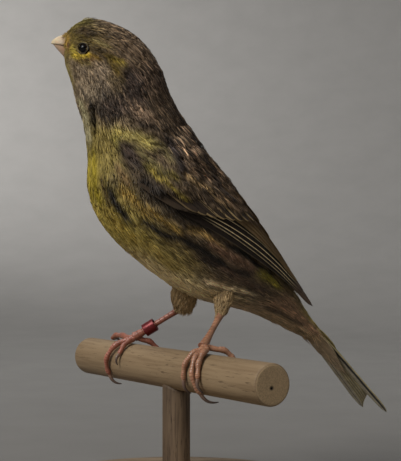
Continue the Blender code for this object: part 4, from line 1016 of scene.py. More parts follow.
for number, (name, station, angle, factor, barbs, wild, centres, lines) in enumerate(sown):
    away = np.abs(angle)
    place = coat_at(station, angle, 0 * angle)
    along, share = beside_wing(place)
    # None under the folded flight feathers, in the eyes, on the bill's base or in the throat's parting
    bared = np.interp(along, *COVERT_LINE)
    kept = ~((along > 8) & (along < 58) & (share > 0.02) & (share < bared) & (away < 150))
    kept &= ~((station < 0.45) & (away > 60) & (away < 120))
    kept &= np.exp(-(((away - 151 - 19 * (station - 5.4)) / 7.5) ** 4) - ((station - 5.3) / 0.6) ** 6) < 0.5
    for eye_centre, eye_aim in EYES:
        ahead = (place - eye_centre) @ eye_aim
        gap = np.linalg.norm(place - eye_centre - ahead[:, None] * eye_aim, axis=-1)
        kept &= ~((ahead > 0) & (gap < LID_RADIUS - 0.3))
    station, angle, away, along, share = station[kept], angle[kept], away[kept], along[kept], share[kept]
    length, width, barb, depth = feather_size(station, angle)
    length = length * factor * coat_order.uniform(0.88, 1.14, len(length))
    lean, stand = 0 * station, 0 * station - 0.12
    for at, round_at, reach, spread, amount in LEANS:
        lean += near(station, angle, at, round_at, reach, spread) * amount
    for at, round_at, reach, spread, amount in STANDS:
        stand += near(station, angle, at, round_at, reach, spread) * amount
    # Shoulder feathers lie over the coverts, and the flank's loose ones over the wing's lower edge
    along_wing = eased_step((along - 4) / 6) * eased_step((54 - along) / 16)
    stand += 1.15 * along_wing * eased_step((share - bared[kept] + 0.1) / 0.2) * eased_step((1.3 - share) / 0.3)
    stand += 0.9 * eased_step((along - 3) / 6) * eased_step((16 - along) / 3) * eased_step((share + 0.1) / 0.2)
    stand += 0.8 * along_wing * eased_step((share + 0.5) / 0.3) * (share < 0.1) * coat_order.random(len(share))
    size = (length, width * factor**0.5, barb, depth, stand, -np.sign(angle) * lean)
    paint = body_paint(centres, lines)
    coat = tufts(name, coat_at, station, angle, size, paint, body_unwrap, 100 + number, barbs, wild, clear_eyes=station.min() < 3.6)

# The wings: folded, with the flight feathers stacked under one another and rows of coverts over their
# roots. Each feather is a stiff vane with a raised shaft, dark brown with a thin pale or olive fringe.

VANE_THICKNESS = 0.16
VANE_TILT = 0.24


def wing_arc(along):
    """The length across the wing from its lower to its upper edge, as a quarter ellipse."""
    lower, upper, below, above = wing_line(along)
    return math.pi / 2 * np.sqrt(((upper - lower) ** 2 + (below - above) ** 2) / 2)


def wing_at(along, across, lift):
    """A point of the left wing: across runs in millimetres round the quarter ellipse from the lower edge,
    and straight on past its ends, and lift is the height over it."""
    lower, upper, below, above = wing_line(along)
    height = upper - lower
    reach = below - above
    arc = wing_arc(along)
    inside = np.clip(across, 0, arc)
    angle = inside / arc * math.pi / 2
    steep = np.hypot(height * np.cos(angle), reach * np.sin(angle))
    out = height * np.cos(angle) / steep
    over = reach * np.sin(angle) / steep
    lateral = above + reach * np.cos(angle) + lift * out - (across - inside) * over
    rise = lower + height * np.sin(angle) + lift * over + (across - inside) * out
    x = WING_WRIST[0] + WING_CHORD[0] * along - WING_CHORD[1] * rise
    z = WING_WRIST[1] + WING_CHORD[1] * along + WING_CHORD[0] * rise
    return np.stack([x, -lateral, z], -1)


vane_finish, tree, shader = finish_of("flight_feather", 0.62, 0.25, Sheen_Weight=0.05)
tint = node(tree, "Attribute", attribute_name="plumage").outputs["Color"]
fringe = node(tree, "Attribute", attribute_name="fringe").outputs["Color"]
own_map = node(tree, "UVMap", uv_map="vane").outputs[0]
split = node(tree, "SeparateXYZ", {"Vector": own_map})
from_shaft = node(tree, "Math", {0: split.outputs[0], 1: 0.5}, operation="SUBTRACT").outputs[0]
from_shaft = node(tree, "Math", {0: from_shaft}, operation="ABSOLUTE").outputs[0]
edging = node(tree, "Attribute", attribute_name="edging").outputs["Fac"]
reach = node(tree, "Math", {0: from_shaft, 1: edging}, operation="ADD").outputs[0]
edge_mask = ramp(tree, reach, (0.41, 0.0), (0.46, 1.0))
slant = node(tree, "Math", {0: from_shaft, 1: 6.0, 2: split.outputs[1]}, operation="MULTIPLY_ADD").outputs[0]
barb_lines = node(tree, "TexWave", {"Vector": node(tree, "CombineXYZ", {"X": slant}).outputs[0], "Scale": 1.1, "Distortion": 0.6, "Detail": 1.0})
barb_lines = barb_lines.outputs["Fac"]
colour = mix(tree, edge_mask, tint, fringe)
shaft = ramp(tree, from_shaft, (0.022, 1.0), (0.05, 0.0))
colour = mix(tree, shaft, colour, (0.02, 0.014, 0.010))
colour = mix(tree, 1.0, colour, ramp(tree, barb_lines, (0.0, 0.84), (1.0, 1.1)), "MULTIPLY")
colour = mix(tree, 1.0, colour, ramp(tree, noise(tree, 420.0, detail=3.0), (0.3, 0.72), (0.7, 1.2)), "MULTIPLY")
tree.links.new(colour, shader.inputs["Base Color"])
bump(tree, shader, barb_lines, 0.00006, 0.6)

VANE_ACROSS = np.array([-1.0, -0.82, -0.5, -0.12, 0.0, 0.12, 0.5, 0.82, 1.0])
VANE_TOP = np.array([0.0, 0.05, 0.12, 0.13, 0.26, 0.13, 0.12, 0.05, 0.0])


def outline_of(share, root_width, blunt, point=0.0):
    """A feather's width along its length, as a share of its widest: it swells from the root and rounds off
    over its last part."""
    swell = root_width + (1 - root_width) * np.clip(share / 0.3, 0, 1) ** 0.6
    past = np.clip((share - blunt) / (1 - blunt), 0, 1)
    return swell * ((1 - point) * np.sqrt(np.maximum(1 - past**2, 0)) + point * (1 - past) ** 0.8)


def vanes(to_space, centre_lines, halves, tilt, thickness=VANE_THICKNESS):
    """Closed thin feathers: centre_lines holds (along, across, lift) rows of each feather and halves its
    half widths. A section has nine points over and seven under, raised at the shaft and tilted so that
    feathers overlap like slats. Returns points, faces and the UV map (across, along)."""
    feathers, rows, _ = centre_lines.shape
    across = np.concatenate([VANE_ACROSS, VANE_ACROSS[-2:0:-1]])
    level = np.concatenate([VANE_TOP, VANE_TOP[-2:0:-1] * 0.6 - thickness])
    sideways = halves[..., None] * across
    up = level * np.clip(halves[..., None] / 1.2, 0.1, 1) - tilt * sideways
    line = centre_lines[:, :, None]
    points = to_space(line[..., 0] + 0 * sideways, line[..., 1] + sideways, line[..., 2] + up)
    columns = len(across)
    first = np.arange(feathers)[:, None, None] * rows * columns
    faces = [
        (first + grid(rows, columns)).reshape(-1, 4),
        (first + ends(rows, columns)).reshape(-1, columns),
    ]
    uv_u = np.broadcast_to((across + 1) / 2, sideways.shape)
    uv_v = np.broadcast_to(line[..., 0] * 1.0, sideways.shape)
    return points, faces, np.stack([uv_u, uv_v], -1)


def wing_tier(root, tip, width, lift, blunt, root_width, rows=22, point=0.0, bow=1.25):
    """Centre lines and half widths of a tier's feathers, from (along, share across) at the roots to the
    same at the tips."""
    root, tip = np.asarray(root, float), np.asarray(tip, float)
    share = np.linspace(0, 1, rows) ** 0.9
    along = root[:, :1] + (tip[:, :1] - root[:, :1]) * share
    place = root[:, 1:] + (tip[:, 1:] - root[:, 1:]) * share**bow
    across = place * wing_arc(along)
    low, high = (np.asarray(edge, float).reshape(-1, 1) for edge in lift)
    lifted = low + (high - low) * share
    lines = np.stack([along, across, lifted + 0 * along], -1)
    halves = np.asarray(width, float).reshape(-1, 1) / 2 * outline_of(share, root_width, blunt, point)
    return lines, halves + 0 * along


def evenly(count, *ends):
    """Evenly stepped rows of (along, share) from one end to the other."""
    return np.linspace(*ends, count)


TIERS = (
    # name, root and tip lines, width, lifts at root and tip, bluntness, root width, rows, point, colours,
    # how much wider than a hair's line the fringe is, jitter
    ("primary", [(18.0, -0.02), (18.6, 0.05), (19.2, 0.07), (20.0, 0.10), (21.0, 0.17)],
     [(79.6, 0.20), (78.4, 0.28), (76.6, 0.38), (73.6, 0.50), (70.0, 0.56)],
     4.0, (-0.9, 0.06 * np.arange(5)[:, None]), 0.80, 0.6, 30, 0.35, (24, 18, 14), (196, 180, 142), 0.0, 0.05),
    ("secondary", evenly(8, (20.0, 0.25), (23.0, 0.74)), evenly(8, (70.5, 0.57), (62.0, 0.97)),
     5.2, (-0.7, 0.25 + 0.035 * np.arange(8)[:, None]), 0.84, 0.7, 26, 0.1, (86, 68, 44), (102, 84, 54), -0.02, 0.05),
    ("tertial", evenly(3, (22.0, 0.62), (19.0, 0.84)), evenly(3, (55.0, 0.8), (45.0, 0.98)),
     6.6, (-0.5, 0.6 + 0.2 * np.arange(3)[:, None]), 0.74, 0.6, 24, 0.0, (72, 56, 39), (100, 82, 56), 0.02, 0.06),
    ("primary_covert", evenly(4, (5.0, 0.0), (8.8, 0.09)), evenly(4, (20.4, -0.01), (26.0, 0.05)),
     3.8, (-2.0, 0.7), 0.74, 0.7, 20, 0.0, (36, 28, 20), (48, 39, 28), -0.02, 0.05),
    ("greater", [(8.5, 0.13), (11.5, 0.16), (14.5, 0.20), (18.0, 0.25), (21.5, 0.31), (24.5, 0.38), (27.5, 0.47), (30.0, 0.58)],
     [(24.6, 0.05), (27.4, 0.07), (30.4, 0.10), (33.4, 0.15), (36.4, 0.21), (39.2, 0.28), (41.8, 0.37), (44.2, 0.48)],
     4.4, (-0.6, 0.9), 0.66, 0.8, 20, 0.0, (36, 28, 21), (116, 98, 68), 0.075, 0.12),
)
tier_draw = np.random.default_rng(21)
# How strongly each primary's pale fringe shows, from the outermost inwards
PRIMARY_FRINGES = np.array([0.08, 0.45, 1.0, 0.85, 0.5])
for side, mirror in (("left", 1.0), ("right", -1.0)):
    for name, root, tip, width, lifts, blunt, root_width, rows, point, shade, fringe_tone, wider, jitter in TIERS:
        lines, halves = wing_tier(root, tip, width, lifts, blunt, root_width, rows, point)
        points, faces, uv = vanes(wing_at, lines, halves, VANE_TILT)
        feathers, rows, columns, _ = points.shape
        own = np.repeat(tier_draw.normal(1, jitter, feathers), rows * columns)[:, None]
        shown = np.ones(points.shape[:3])
        browned = 0 * shown
        if name == "primary":
            # Pale only at the outer vane's edge, between the coverts and the browner tip
            from_wrist = lines[:, :, :1] + 0 * shown
            shown = PRIMARY_FRINGES[:, None, None] * (uv[..., 0] < 0.2)
            shown = shown * eased_step((from_wrist - 26) / 9) * eased_step((72 - from_wrist) / 9)
            browned = eased_step((from_wrist - 65) / 8)
        elif name == "greater":
            # The lowest coverts have the thinnest and dimmest fringes
            shown = shown * np.minimum(0.4 + 0.3 * np.arange(feathers), 1)[:, None, None]
        shown, browned = shown.reshape(-1, 1), browned.reshape(-1, 1)
        base_tone = seen(*shade) + (seen(66, 54, 45) - seen(*shade)) * browned
        tier = piece(
            f"wing_{side}_{name}",
            points.reshape(-1, 3) * (1, mirror, 1) + BIRD_PLACE,
            faces,
            vane_finish,
            uv=uv.reshape(-1, 2),
            uv_map="vane",
            plumage=base_tone * GAIN * own,
            fringe=(base_tone + (seen(*fringe_tone) - base_tone) * shown) * GAIN * own,
            edging=wider * shown[:, 0],
        )
        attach(tier, "root")
        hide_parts("wing_" + side)

# The tail: twelve narrow feathers in a shallow fork, grey-brown with olive outer edges and dark shafts,
# under and over whose roots the longest coverts lie.

TAIL_START = np.array([47.0, 14.6])
TAIL_END = np.array([75.5, -16.1])
TAIL_LENGTH = float(np.linalg.norm(TAIL_END - TAIL_START))
TAIL_CHORD = (TAIL_END - TAIL_START) / TAIL_LENGTH
TAIL_PAIRS = 6
TAIL_FORK = 4.6
TAIL_STEP = 0.34


def tail_at(along, across, lift):
    """A point of the tail: distance from its root, distance from its middle and height over it."""
    x = TAIL_START[0] + TAIL_CHORD[0] * along - TAIL_CHORD[1] * lift
    z = TAIL_START[1] + TAIL_CHORD[1] * along + TAIL_CHORD[0] * lift
    return np.stack([x, across + 0 * along, z], -1)


def roofed_tail(along, across, lift):
    """The tail's feathers lie in a plane that is rolled a little, its left side upwards."""
    return tail_at(along, across, lift - 0.085 * across)


def tail_tier(start, reach, root, tip, low, high, width, blunt, rows=26):
    """Centre lines and half widths of tail feathers, one row of numbers for each feather."""
    share = np.linspace(0, 1, rows)
    along = start[:, None] + (reach - start)[:, None] * share
    across = root[:, None] + (tip - root)[:, None] * share
    lift = low[:, None] + (high - low)[:, None] * share
    return np.stack([along, across, lift], -1), width[:, None] / 2 * outline_of(share, 0.55, blunt, 0.3)


pair = np.repeat(np.arange(TAIL_PAIRS), 2)
hand = np.tile([-1.0, 1.0], TAIL_PAIRS)
out = pair / (TAIL_PAIRS - 1)
lift = 0.85 - TAIL_STEP * pair
rectrices = tail_tier(
    8.0 + 0 * out,
    TAIL_LENGTH - TAIL_FORK * (1 - out) ** 0.8 + 1.4 * (out * hand == -1),
    hand * (0.7 + 2.2 * out),
    hand * (0.9 + 4.8 * out),
    lift * 0.6,
    lift + 0.05 * hand,
    5.4 - 0.25 * pair,
    0.84,
)
step = np.repeat(np.arange(3), 2)
hand3 = np.tile([-1.0, 1.0], 3)
over = tail_tier(
    6.0 + 0 * hand3, 21.0 - 3 * step, hand3 * (0.9 + 1.1 * step), hand3 * (1.1 + 1.4 * step),
    0.2 + 0 * hand3, 0.1 + 0.05 * hand3, 3.6 + 0 * hand3, 0.6, 16,
)
below = tail_tier(
    6.0 + 0 * hand3, 25.0 - 4 * step, hand3 * (0.9 + 1.1 * step), hand3 * (1.1 + 1.4 * step),
    -1.0 + 0 * hand3, -1.25 + 0.05 * hand3, 3.4 + 0 * hand3, 0.6, 16,
)
for name, (lines, halves), shade, fringe_tone in (
    ("tail_feathers", rectrices, (116, 110, 96), (134, 124, 88)),
    ("tail_coverts_over", over, (100, 90, 60), (118, 106, 66)),
    ("tail_coverts_under", below, (116, 102, 82), (140, 126, 100)),
):
    points, faces, uv = vanes(roofed_tail, lines, halves, 0.0)
    feathers, rows, columns, _ = points.shape
    own = np.repeat(tier_draw.normal(1, 0.07, feathers), rows * columns)[:, None]
    dark = np.zeros(points.shape[:3])
    if name == "tail_feathers":
        # Painted shadow: the outermost left feather is painted black between its olive edge and its shaft
        dark[-2, :, 2:5] = dark[-2, :, -3:-1] = 1.0
    tone = seen(*shade) * (1 - dark.reshape(-1, 1)) + seen(16, 12, 8) * dark.reshape(-1, 1)
    made = piece(
        name, points.reshape(-1, 3) + BIRD_PLACE, faces, vane_finish, uv=uv.reshape(-1, 2), uv_map="vane",
        plumage=tone * GAIN * own, fringe=seen(*fringe_tone) * GAIN * own,
        edging=np.full(len(own), 0.0),
    )
    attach(made, "root")
    if name == "tail_feathers":
        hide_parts("tail")

# The thighs: short muscular cones hidden in loose grey-brown feathers that stop at the heel.

HEELS = {"left": (12.0, -11.6, 17.6), "right": (11.6, 12.2, 18.4)}
FOOT_SPOT = {"left": 21.4, "right": -21.4}
ANKLE = {"left": (-0.8, 6.0), "right": (0.0, -2.0)}
TARSUS_RADIUS = 1.05
TOE_RADIUS = 0.95
THIGH_RADII = {
    "left": np.array([0.9, 1.2, 1.6, 2.1, 2.6, 2.9, 2.9, 2.5, 1.7]),
    "right": np.array([0.9, 1.5, 2.2, 2.9, 3.5, 3.9, 4.1, 3.9, 2.9]),
}
THIGH_BOWS = {"left": 2.7, "right": -0.7}
# How far down the tarsus past the heel the thigh's feathers reach, in millimetres
THIGH_REACH = {"left": 0.4, "right": 1.1}


def perch_point(along, degrees, radius):
    """A point near the perch: distance along it to the bird's left, angle round it from the top towards
    the front, and distance from its axis."""
    angle = np.radians(np.asarray(degrees, float))[..., None]
    forward = np.array([-math.cos(PERCH_TURN), -math.sin(PERCH_TURN), 0.0])
    left = np.array([math.sin(PERCH_TURN), -math.cos(PERCH_TURN), 0.0])
    along = np.asarray(along, float)[..., None]
    radius = np.asarray(radius, float)[..., None]
    return along * left + radius * (np.sin(angle) * forward + np.cos(angle) * VIEW_UP)


def leg_line(side):
    """Heel, ankle and the direction from one to the other."""
    heel = np.array(HEELS[side])
    shift, angle = ANKLE[side]
    ankle = perch_point(FOOT_SPOT[side] + shift, angle, PERCH_RADIUS + 0.3 + TOE_RADIUS + 1.2)
    shank = (ankle - heel) / np.linalg.norm(ankle - heel)
    return heel, ankle, shank


def thigh_surface(side):
    """A function of share down the thigh, degrees round it and height: rings of the named radii about the
    line from the hip to above the heel, bowed backwards or forwards."""
    heel, _, shank = leg_line(side)
    top = np.array([10.5, -5.8 if side == "left" else 5.8, 32.0])
    foot = heel + shank * THIGH_REACH[side]
    axis = (foot - top) / np.linalg.norm(foot - top)
    ahead = np.array([1.0, 0, 0]) - axis * axis[0]
    ahead /= np.linalg.norm(ahead)
    beside = np.cross(axis, ahead)

    def surface(share, degrees, height):
        share, angle = np.clip(share, 0, 1.12), np.radians(degrees)[..., None]
        centre = top + (foot - top) * share[..., None]
        centre[..., 0] += THIGH_BOWS[side] * np.sin(share * math.pi)
        radius = (np.interp(share, np.linspace(0, 1, 9), THIGH_RADII[side] - 0.4) + height)[..., None]
        return centre + radius * (np.cos(angle) * ahead + np.sin(angle) * beside)

    return surface


def thigh_paint(path_u, path_v, k, draw):
    """Loose buff-brown down, paler at its tips."""
    colour = seen(112, 95, 68) * GAIN * np.clip(draw.normal(1.0, 0.2, (*k.shape, 1, 1)), 0.5, 1.6)
    return colour * np.array([0.7, 0.9, 1.0, 1.1])[:, None]


thigh_order = np.arange(320)
thigh_share = 0.26 + 0.7 * ((0.5 + thigh_order * 0.7548776662) % 1)
thigh_degrees = 360 * ((0.5 + thigh_order * 0.5698402910) % 1)
for number, side in enumerate(("left", "right")):
    surface = thigh_surface(side)
    share, degrees = np.meshgrid(np.linspace(0, 1, 33), np.arange(0, 360, 9.0), indexing="ij")
    core = piece(
        "thigh_skin_" + side,
        surface(share, degrees, -0.9 + 0 * share) + BIRD_PLACE,
        [grid(33, 40), ends(33, 40)],
        skin_finish,
        plumage=np.broadcast_to(seen(90, 78, 60) * GAIN, (33 * 40, 3)),
    )
    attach(core, "root")
    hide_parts("thigh_" + side)
    size = (np.interp(thigh_share, [0.2, 0.7, 1], [7.5, 5.0, 2.8]), 2.2, 0.28, 0.9, 0.3, 0.1)
    coat = tufts(
        "coat_thigh_" + side, surface, thigh_share, thigh_degrees, size, thigh_paint,
        lambda u, v: (v / 360, u * 0.9 + 0.05), 300 + number, 9, 0.4,
    )

# The legs and toes: bare pinkish skin under rows of thin horny plates, pads under the toes' joints.
# They are one fleshy whole; the toes wrap the perch, three in front and the long hind toe behind.

TOES = {
    "left": {
        "inner": (-0.6, -2.4, 2, 100, 38, 0.4, 0.3),
        "middle": (0.2, 3.6, 4, 135, 43, 2.2, 0.4),
        "outer": (1.0, 5.4, 0, 92, 34, 1.0, 0.3),
        "hind": (0.2, 3.6, -8, -84, -50, 1.0, 1.3),
    },
    "right": {
        "inner": (0.6, 0.8, 2, 62, 28, 0.4, 0.3),
        "middle": (-0.6, -6.4, 6, 124, 36, 1.8, 0.4),
        "outer": (-1.2, -18.6, 0, -20, -30, -2.0, 0.9),
        "hind": (0.2, 3.2, -8, -88, -52, 1.6, 0.9),
    },
}
leg_finish, tree, shader = finish_of("leg_skin", 0.34, 0.6, Subsurface_Weight=0.12, Subsurface_Scale=0.0012)
tint = node(tree, "Attribute", attribute_name="tint").outputs["Color"]
mottle = noise(tree, 500.0, detail=4.0)
tree.links.new(mix(tree, 1.0, tint, ramp(tree, mottle, (0.3, 0.7), (0.7, 1.2)), "MULTIPLY"), shader.inputs["Base Color"])
bump(tree, shader, noise(tree, 2200.0, detail=3.0), 0.00006)


def tube(path, radius, up, sides, squash=1.0):
    """Rings round a path, square to it, whose first point lies towards up. radius may differ from point to
    point of a ring. Returns the points."""
    forwards = np.gradient(path, axis=0)
    forwards /= np.linalg.norm(forwards, axis=1)[:, None]
    up = up - forwards * np.sum(up * forwards, 1)[:, None]
    up /= np.linalg.norm(up, axis=1)[:, None]
    side = np.cross(forwards, up)
    angle = np.linspace(0, 2 * math.pi, sides + 1)[:-1]
    return (
        path[:, None]
        + (radius * np.cos(angle) * squash)[..., None] * up[:, None]
        + (radius * np.sin(angle))[..., None] * side[:, None]
    )


def scaled_tint(share, angle, plates, tone):
    """Skin colour along a toe or shank: each plate is paler in its middle, with a dark reddish joint."""
    place = (share * plates) % 1
    joint = np.exp(-((np.minimum(place, 1 - place) / 0.10) ** 2))[:, None]
    top = np.clip(np.cos(angle), 0, 1)
    pale = seen(*tone) * GAIN
    dark = pale * (0.5, 0.36, 0.34)
    mixed = (joint * (0.25 + 0.65 * top))[..., None]
    under = 0.85 + 0.15 * top[..., None]
    return (pale * (1 - mixed) + dark * mixed) * under


LEG_TONE = {"left": (106, 76, 58), "right": (98, 60, 48)}
LEG_SIDES = 20
leg_angle = np.linspace(0, 2 * math.pi, LEG_SIDES + 1)[:-1]
for side in ("left", "right"):
    heel, ankle, shank = leg_line(side)
    spot = FOOT_SPOT[side]
    points, faces, tints, start = [], [], [], 0
    # Shank: from inside the thigh to the ankle, with twelve plates down its front, each lapping the next
    share = np.linspace(0, 1, 109)
    top = heel - shank * 0.4
    path = top + (ankle + shank * 0.5 - top) * share[:, None]
    radius = TARSUS_RADIUS * (1.16 - 0.36 * np.sin(share * math.pi) + 0.30 * share**6)
    plate = 1 + 0.16 * (((share * 12) % 1) - 0.5)[:, None] * np.clip(np.cos(leg_angle), 0, 1) ** 0.7
    front = np.broadcast_to(np.array([-1.0, 0, 0]), path.shape)
    points.append(tube(path, radius[:, None] * plate, front, LEG_SIDES, 1.06))
    tints.append(scaled_tint(share, leg_angle, 12, LEG_TONE[side]))
    for name, toe in TOES[side].items():
        rows, plates = (121, 20) if name != "hind" else (73, 12)
        share = np.linspace(0, 1, rows)
        thick = TOE_RADIUS * (1 - 0.30 * share)
        thick *= 1 + 0.10 * np.cos(share * 3.2 * 2 * math.pi)
        thick *= np.sqrt(np.clip(1 - ((share - 0.97) / 0.03).clip(0) ** 2, 0.05, 1))
        along = spot + toe[0] + (toe[1] - toe[0]) * np.sin(share * math.pi / 2)
        degrees = toe[2] + (toe[3] - toe[2]) * share
        arch = toe[6] * np.sin(share * math.pi) ** 1.5
        clear = PERCH_RADIUS + 0.1 + 1.12 * thick.clip(0.5) + 0.5 * (1 - share) ** 2 + arch
        route = perch_point(along, degrees, clear)
        joined = np.clip(share / 0.16, 0, 1)[:, None]
        joined = joined * joined * (3 - 2 * joined)
        path = ankle * (1 - joined) + route * joined
        away = perch_point(0 * along, degrees, 1.0 + 0 * along)
        plate = 1 + 0.14 * (((share * plates) % 1) - 0.5)[:, None] * np.clip(np.cos(leg_angle), 0, 1) ** 0.7
        pad = 1 + 0.10 * (0.5 + 0.5 * np.cos(share * 3.2 * 2 * math.pi))[:, None] * np.clip(-np.cos(leg_angle), 0, 1)
        points.append(tube(path, thick[:, None] * plate * pad, away, LEG_SIDES))
        tints.append(scaled_tint(share, leg_angle, plates, LEG_TONE[side]))
    for block in points:
        rows = len(block)
        faces += [(grid(rows, LEG_SIDES, start=start)), (ends(rows, LEG_SIDES, start))]
        start += rows * LEG_SIDES
    leg = piece(
        "leg_" + side,
        np.concatenate([block.reshape(-1, 3) for block in points]) + BIRD_PLACE,
        [np.concatenate(faces[0::2]), np.concatenate(faces[1::2])],
        leg_finish,
        tint=np.concatenate([block.reshape(-1, 3) for block in tints]),
    )
    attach(leg, "root")
    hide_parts("tarsus_" + side, "foot_" + side)

# The claws: thin hooks of dark horn, grooved below and paler at the root, one at the end of each toe.

claw_finish, tree, shader = finish_of("claw_horn", 0.3, 0.5)
layers = noise(tree, 900.0, detail=3.0)
tint = node(tree, "Attribute", attribute_name="tint").outputs["Color"]
tree.links.new(mix(tree, 1.0, tint, ramp(tree, layers, (0.3, 0.75), (0.7, 1.2)), "MULTIPLY"), shader.inputs["Base Color"])
bump(tree, shader, layers, 0.00004)
for side in ("left", "right"):
    for name, toe in TOES[side].items():
        share = np.linspace(-0.12, 1, 30)
        tapered = np.clip(share, 0, 1)
        degrees = toe[3] + toe[4] * share * 1.02 + math.copysign(2.0, toe[4])
        radius = 0.48 * (1 - tapered) ** 0.65 + 0.07
        along = FOOT_SPOT[side] + toe[1] + toe[5] * tapered**1.3
        clear = PERCH_RADIUS + 0.9 + 0.55 * np.sin(tapered * math.pi) + abs(toe[5]) * 0.25 * tapered
        path = perch_point(along, degrees, clear)
        away = perch_point(0 * along, degrees, 1 + 0 * along)
        angle = np.linspace(0, 2 * math.pi, 15)[:-1]
        groove = 1 - 0.16 * np.exp(-(((np.abs(angle - math.pi)) / 0.4) ** 2))
        tone = (seen(88, 68, 56) + (seen(42, 36, 33) - seen(88, 68, 56)) * (tapered**0.4)[:, None]) * GAIN
        claw = piece(
            f"horn_{side}_{name}",
            tube(path, radius[:, None] * groove, away, 14, 1.2) + BIRD_PLACE,
            [grid(30, 14), ends(30, 14)],
            claw_finish,
            tint=np.repeat(tone, 14, 0),
        )
        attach(claw, "root")
        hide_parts(f"claw_{side}_{name}")

# The leg band: a closed ring of red anodised metal that hangs loose round the right shank.

BAND_RADIUS = 2.1
BAND_WALL = 0.45
BAND_HEIGHT = 4.0
BAND_FROM_FOOT = 5.4
band_finish, tree, shader = finish_of("red_metal", 0.36, 0.5, Metallic=0.45)
scratch = noise(tree, 900.0, (1, 1, 6), detail=4.0)
tree.links.new(ramp(tree, scratch, (0.3, (0.11, 0.011, 0.012)), (0.7, (0.21, 0.022, 0.024))), shader.inputs["Base Color"])
bump(tree, shader, scratch, 0.00003)
_, ankle, shank = leg_line("right")
half = BAND_HEIGHT / 2
corner = np.linspace(0, math.pi / 2, 5)
ease = 0.16
band_out = np.concatenate(
    [
        BAND_RADIUS - ease + ease * np.cos(corner),
        BAND_RADIUS - BAND_WALL + ease - ease * np.sin(corner),
        BAND_RADIUS - BAND_WALL + ease - ease * np.cos(corner),
        BAND_RADIUS - ease + ease * np.sin(corner),
    ]
)
band_level = np.concatenate(
    [
        half - ease + ease * np.sin(corner),
        half - ease + ease * np.cos(corner),
        -half + ease - ease * np.sin(corner),
        -half + ease - ease * np.cos(corner),
    ]
)
band_up = VIEW_UP - shank * shank[2]
band_up /= np.linalg.norm(band_up)
band_side = np.cross(shank, band_up)
turn = np.linspace(0, 2 * math.pi, 73)[:-1]
round_band = np.cos(turn)[:, None] * band_up + np.sin(turn)[:, None] * band_side
band_points = (
    ankle - shank * BAND_FROM_FOOT + band_out[None, :, None] * round_band[:, None] + band_level[None, :, None] * shank
)
band_faces = grid(73, len(band_out)) % (72 * len(band_out))
band = piece("band", band_points + BIRD_PLACE, [band_faces], band_finish)
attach(band, "root")
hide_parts("leg_band")

# The bill: two short cones of pinkish horn that meet along the mouth's line, the upper one longer and
# lightly hooked, with a nostril on each side by its root.

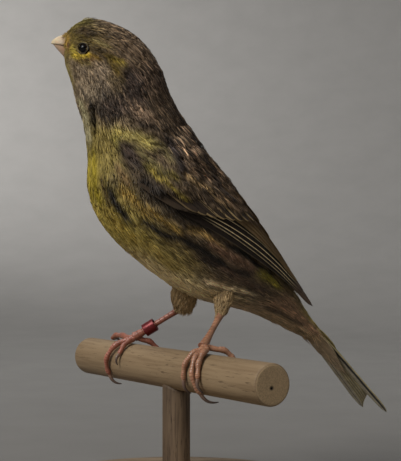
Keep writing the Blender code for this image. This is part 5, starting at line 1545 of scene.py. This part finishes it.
BILL_ROOT = -33.7
BILL_LENGTH = 4.0
BILL_LINE = 97.3
BILL_RISE = 1.1
BILL_TONES = {"upper_bill": ((150, 122, 96), (196, 178, 148)), "lower_bill": ((150, 116, 90), (176, 148, 122))}
horn, tree, shader = finish_of("bill_horn", 0.4, 0.45, Subsurface_Weight=0.15, Subsurface_Scale=0.001)
tint = node(tree, "Attribute", attribute_name="tint").outputs["Color"]
growth = noise(tree, 700.0, (1, 1, 3), detail=3.0)
tree.links.new(mix(tree, 1.0, tint, ramp(tree, growth, (0.3, 0.86), (0.7, 1.1)), "MULTIPLY"), shader.inputs["Base Color"])
bump(tree, shader, growth, 0.00005)
for name, height, width, length, droop, fullness in (
    ("upper_bill", 3.6, 3.1, BILL_LENGTH, 0.2, 0.56),
    ("lower_bill", -3.0, 2.7, BILL_LENGTH - 0.5, 0.0, 0.9),
):
    # Rings of a D: wide * cos(angle) across, tall * sin(angle) up, both shrinking to the tip. Behind the
    # root the sides flare to the corners of the mouth, where the face's feathers lie over them.
    share = np.concatenate([[-0.4, -0.26, -0.12], np.linspace(0, 1, 30) ** 0.85])[:, None]
    angle = np.linspace(0, math.pi, 33)
    left_over = np.clip(1 - share, 0.004, 1)
    tall = height * left_over**fullness
    wide = width * left_over**0.6 + 4.6 * np.clip(-share, 0, 1)
    line = BILL_LINE + math.copysign(0.09, height) + BILL_RISE * share - droop * np.clip(share, 0, 1) ** 2
    x = BILL_ROOT - length * share
    rings = np.stack([x + 0 * angle, wide * np.cos(angle), line + tall * np.sin(angle)], -1)
    nostril = np.zeros(rings.shape[:2])
    if height > 0:
        for side in (-1, 1):
            gap = np.linalg.norm((rings - (BILL_ROOT + 0.3, side * 2.1, BILL_LINE + 2.3)) * (0.8, 1, 1.3), axis=-1)
            nostril = np.maximum(nostril, np.exp(-((gap / 0.42) ** 4)))
        rings[..., 1] *= 1 - 0.35 * nostril
    dim, pale = (seen(*tone) for tone in BILL_TONES[name])
    # The horn is paler along each bill's ridge, a painted highlight, and towards the tip, its own colour; painted shade
    # darkens it along the mouth's line and in the nostrils' hollows
    ridge = np.clip(np.sin(angle), 0, 1) ** 2
    ridge_highlight_and_pale_tip = np.clip(0.35 * ridge + 1.0 * np.clip(share + 0.1, 0, 1) ** 0.6 * np.ones(33), 0, 1)
    tone = dim + (pale - dim) * ridge_highlight_and_pale_tip[..., None]
    tone = tone * (1 - 0.3 * np.exp(-((np.sin(angle) / 0.12) ** 2)))[:, None] * (1 - 0.85 * nostril[..., None])
    bill = piece(
        name + "_horn",
        head_turned(rings, 30.0) + BIRD_PLACE,
        [grid(len(rings), 33), ends(len(rings), 33)],
        horn,
        tint=tone.reshape(-1, 3) * 1.25,
    )
    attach(bill, "root")
    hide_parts(name)

# The tufts over the bill's root: short stiff feathers that point forwards over the nostrils.


def over_bill(station, angle, height):
    """A point over the bill's root: the face's own surface back of its front edge, and ahead of it the same
    ring moved forwards and narrowed with the bill."""
    ahead = np.maximum(-station, 0)
    points = coat_at(np.maximum(station, 0), angle, height)
    middle = head_turned(np.array([BILL_ROOT, 0.0, BILL_LINE + 0.4]), 30.0)
    forwards = head_turned(np.array([TURN_PIVOT - 1.0, 0.0, 0.0]), 30.0) - (TURN_PIVOT, 0.0, 0.0)
    inwards = (middle - points) * (0.26 * ahead)[..., None]
    return points + forwards * (3.0 * ahead)[..., None] + inwards + VIEW_UP * (0.8 * ahead)[..., None]


def tuft_paint(path_u, path_v, k, draw):
    """Yellow-olive, some feathers more orange, darker at the roots."""
    tones = np.stack([seen(104, 90, 34), seen(132, 102, 40), seen(74, 56, 24)])
    colour = tones[draw.integers(0, 3, k.shape)][:, :, None] * GAIN * 0.9
    return colour * np.array([0.45, 0.8, 1.0, 1.15])[:, None]


tuft_draw = np.random.default_rng(77)
tuft_angle = tuft_draw.uniform(-104, 104, 220)
tuft_station = tuft_draw.uniform(0.15, 0.6, 220) + 0.3 * (np.abs(tuft_angle) > 62)
size = (-1.5 * tuft_draw.uniform(0.6, 1.2, 220), 0.7, 0.13, 0.3, 0.15, 0.0)
coat = tufts("coat_nostrils", over_bill, tuft_station, tuft_angle, size, tuft_paint, body_unwrap, 401, 5, 0.35)
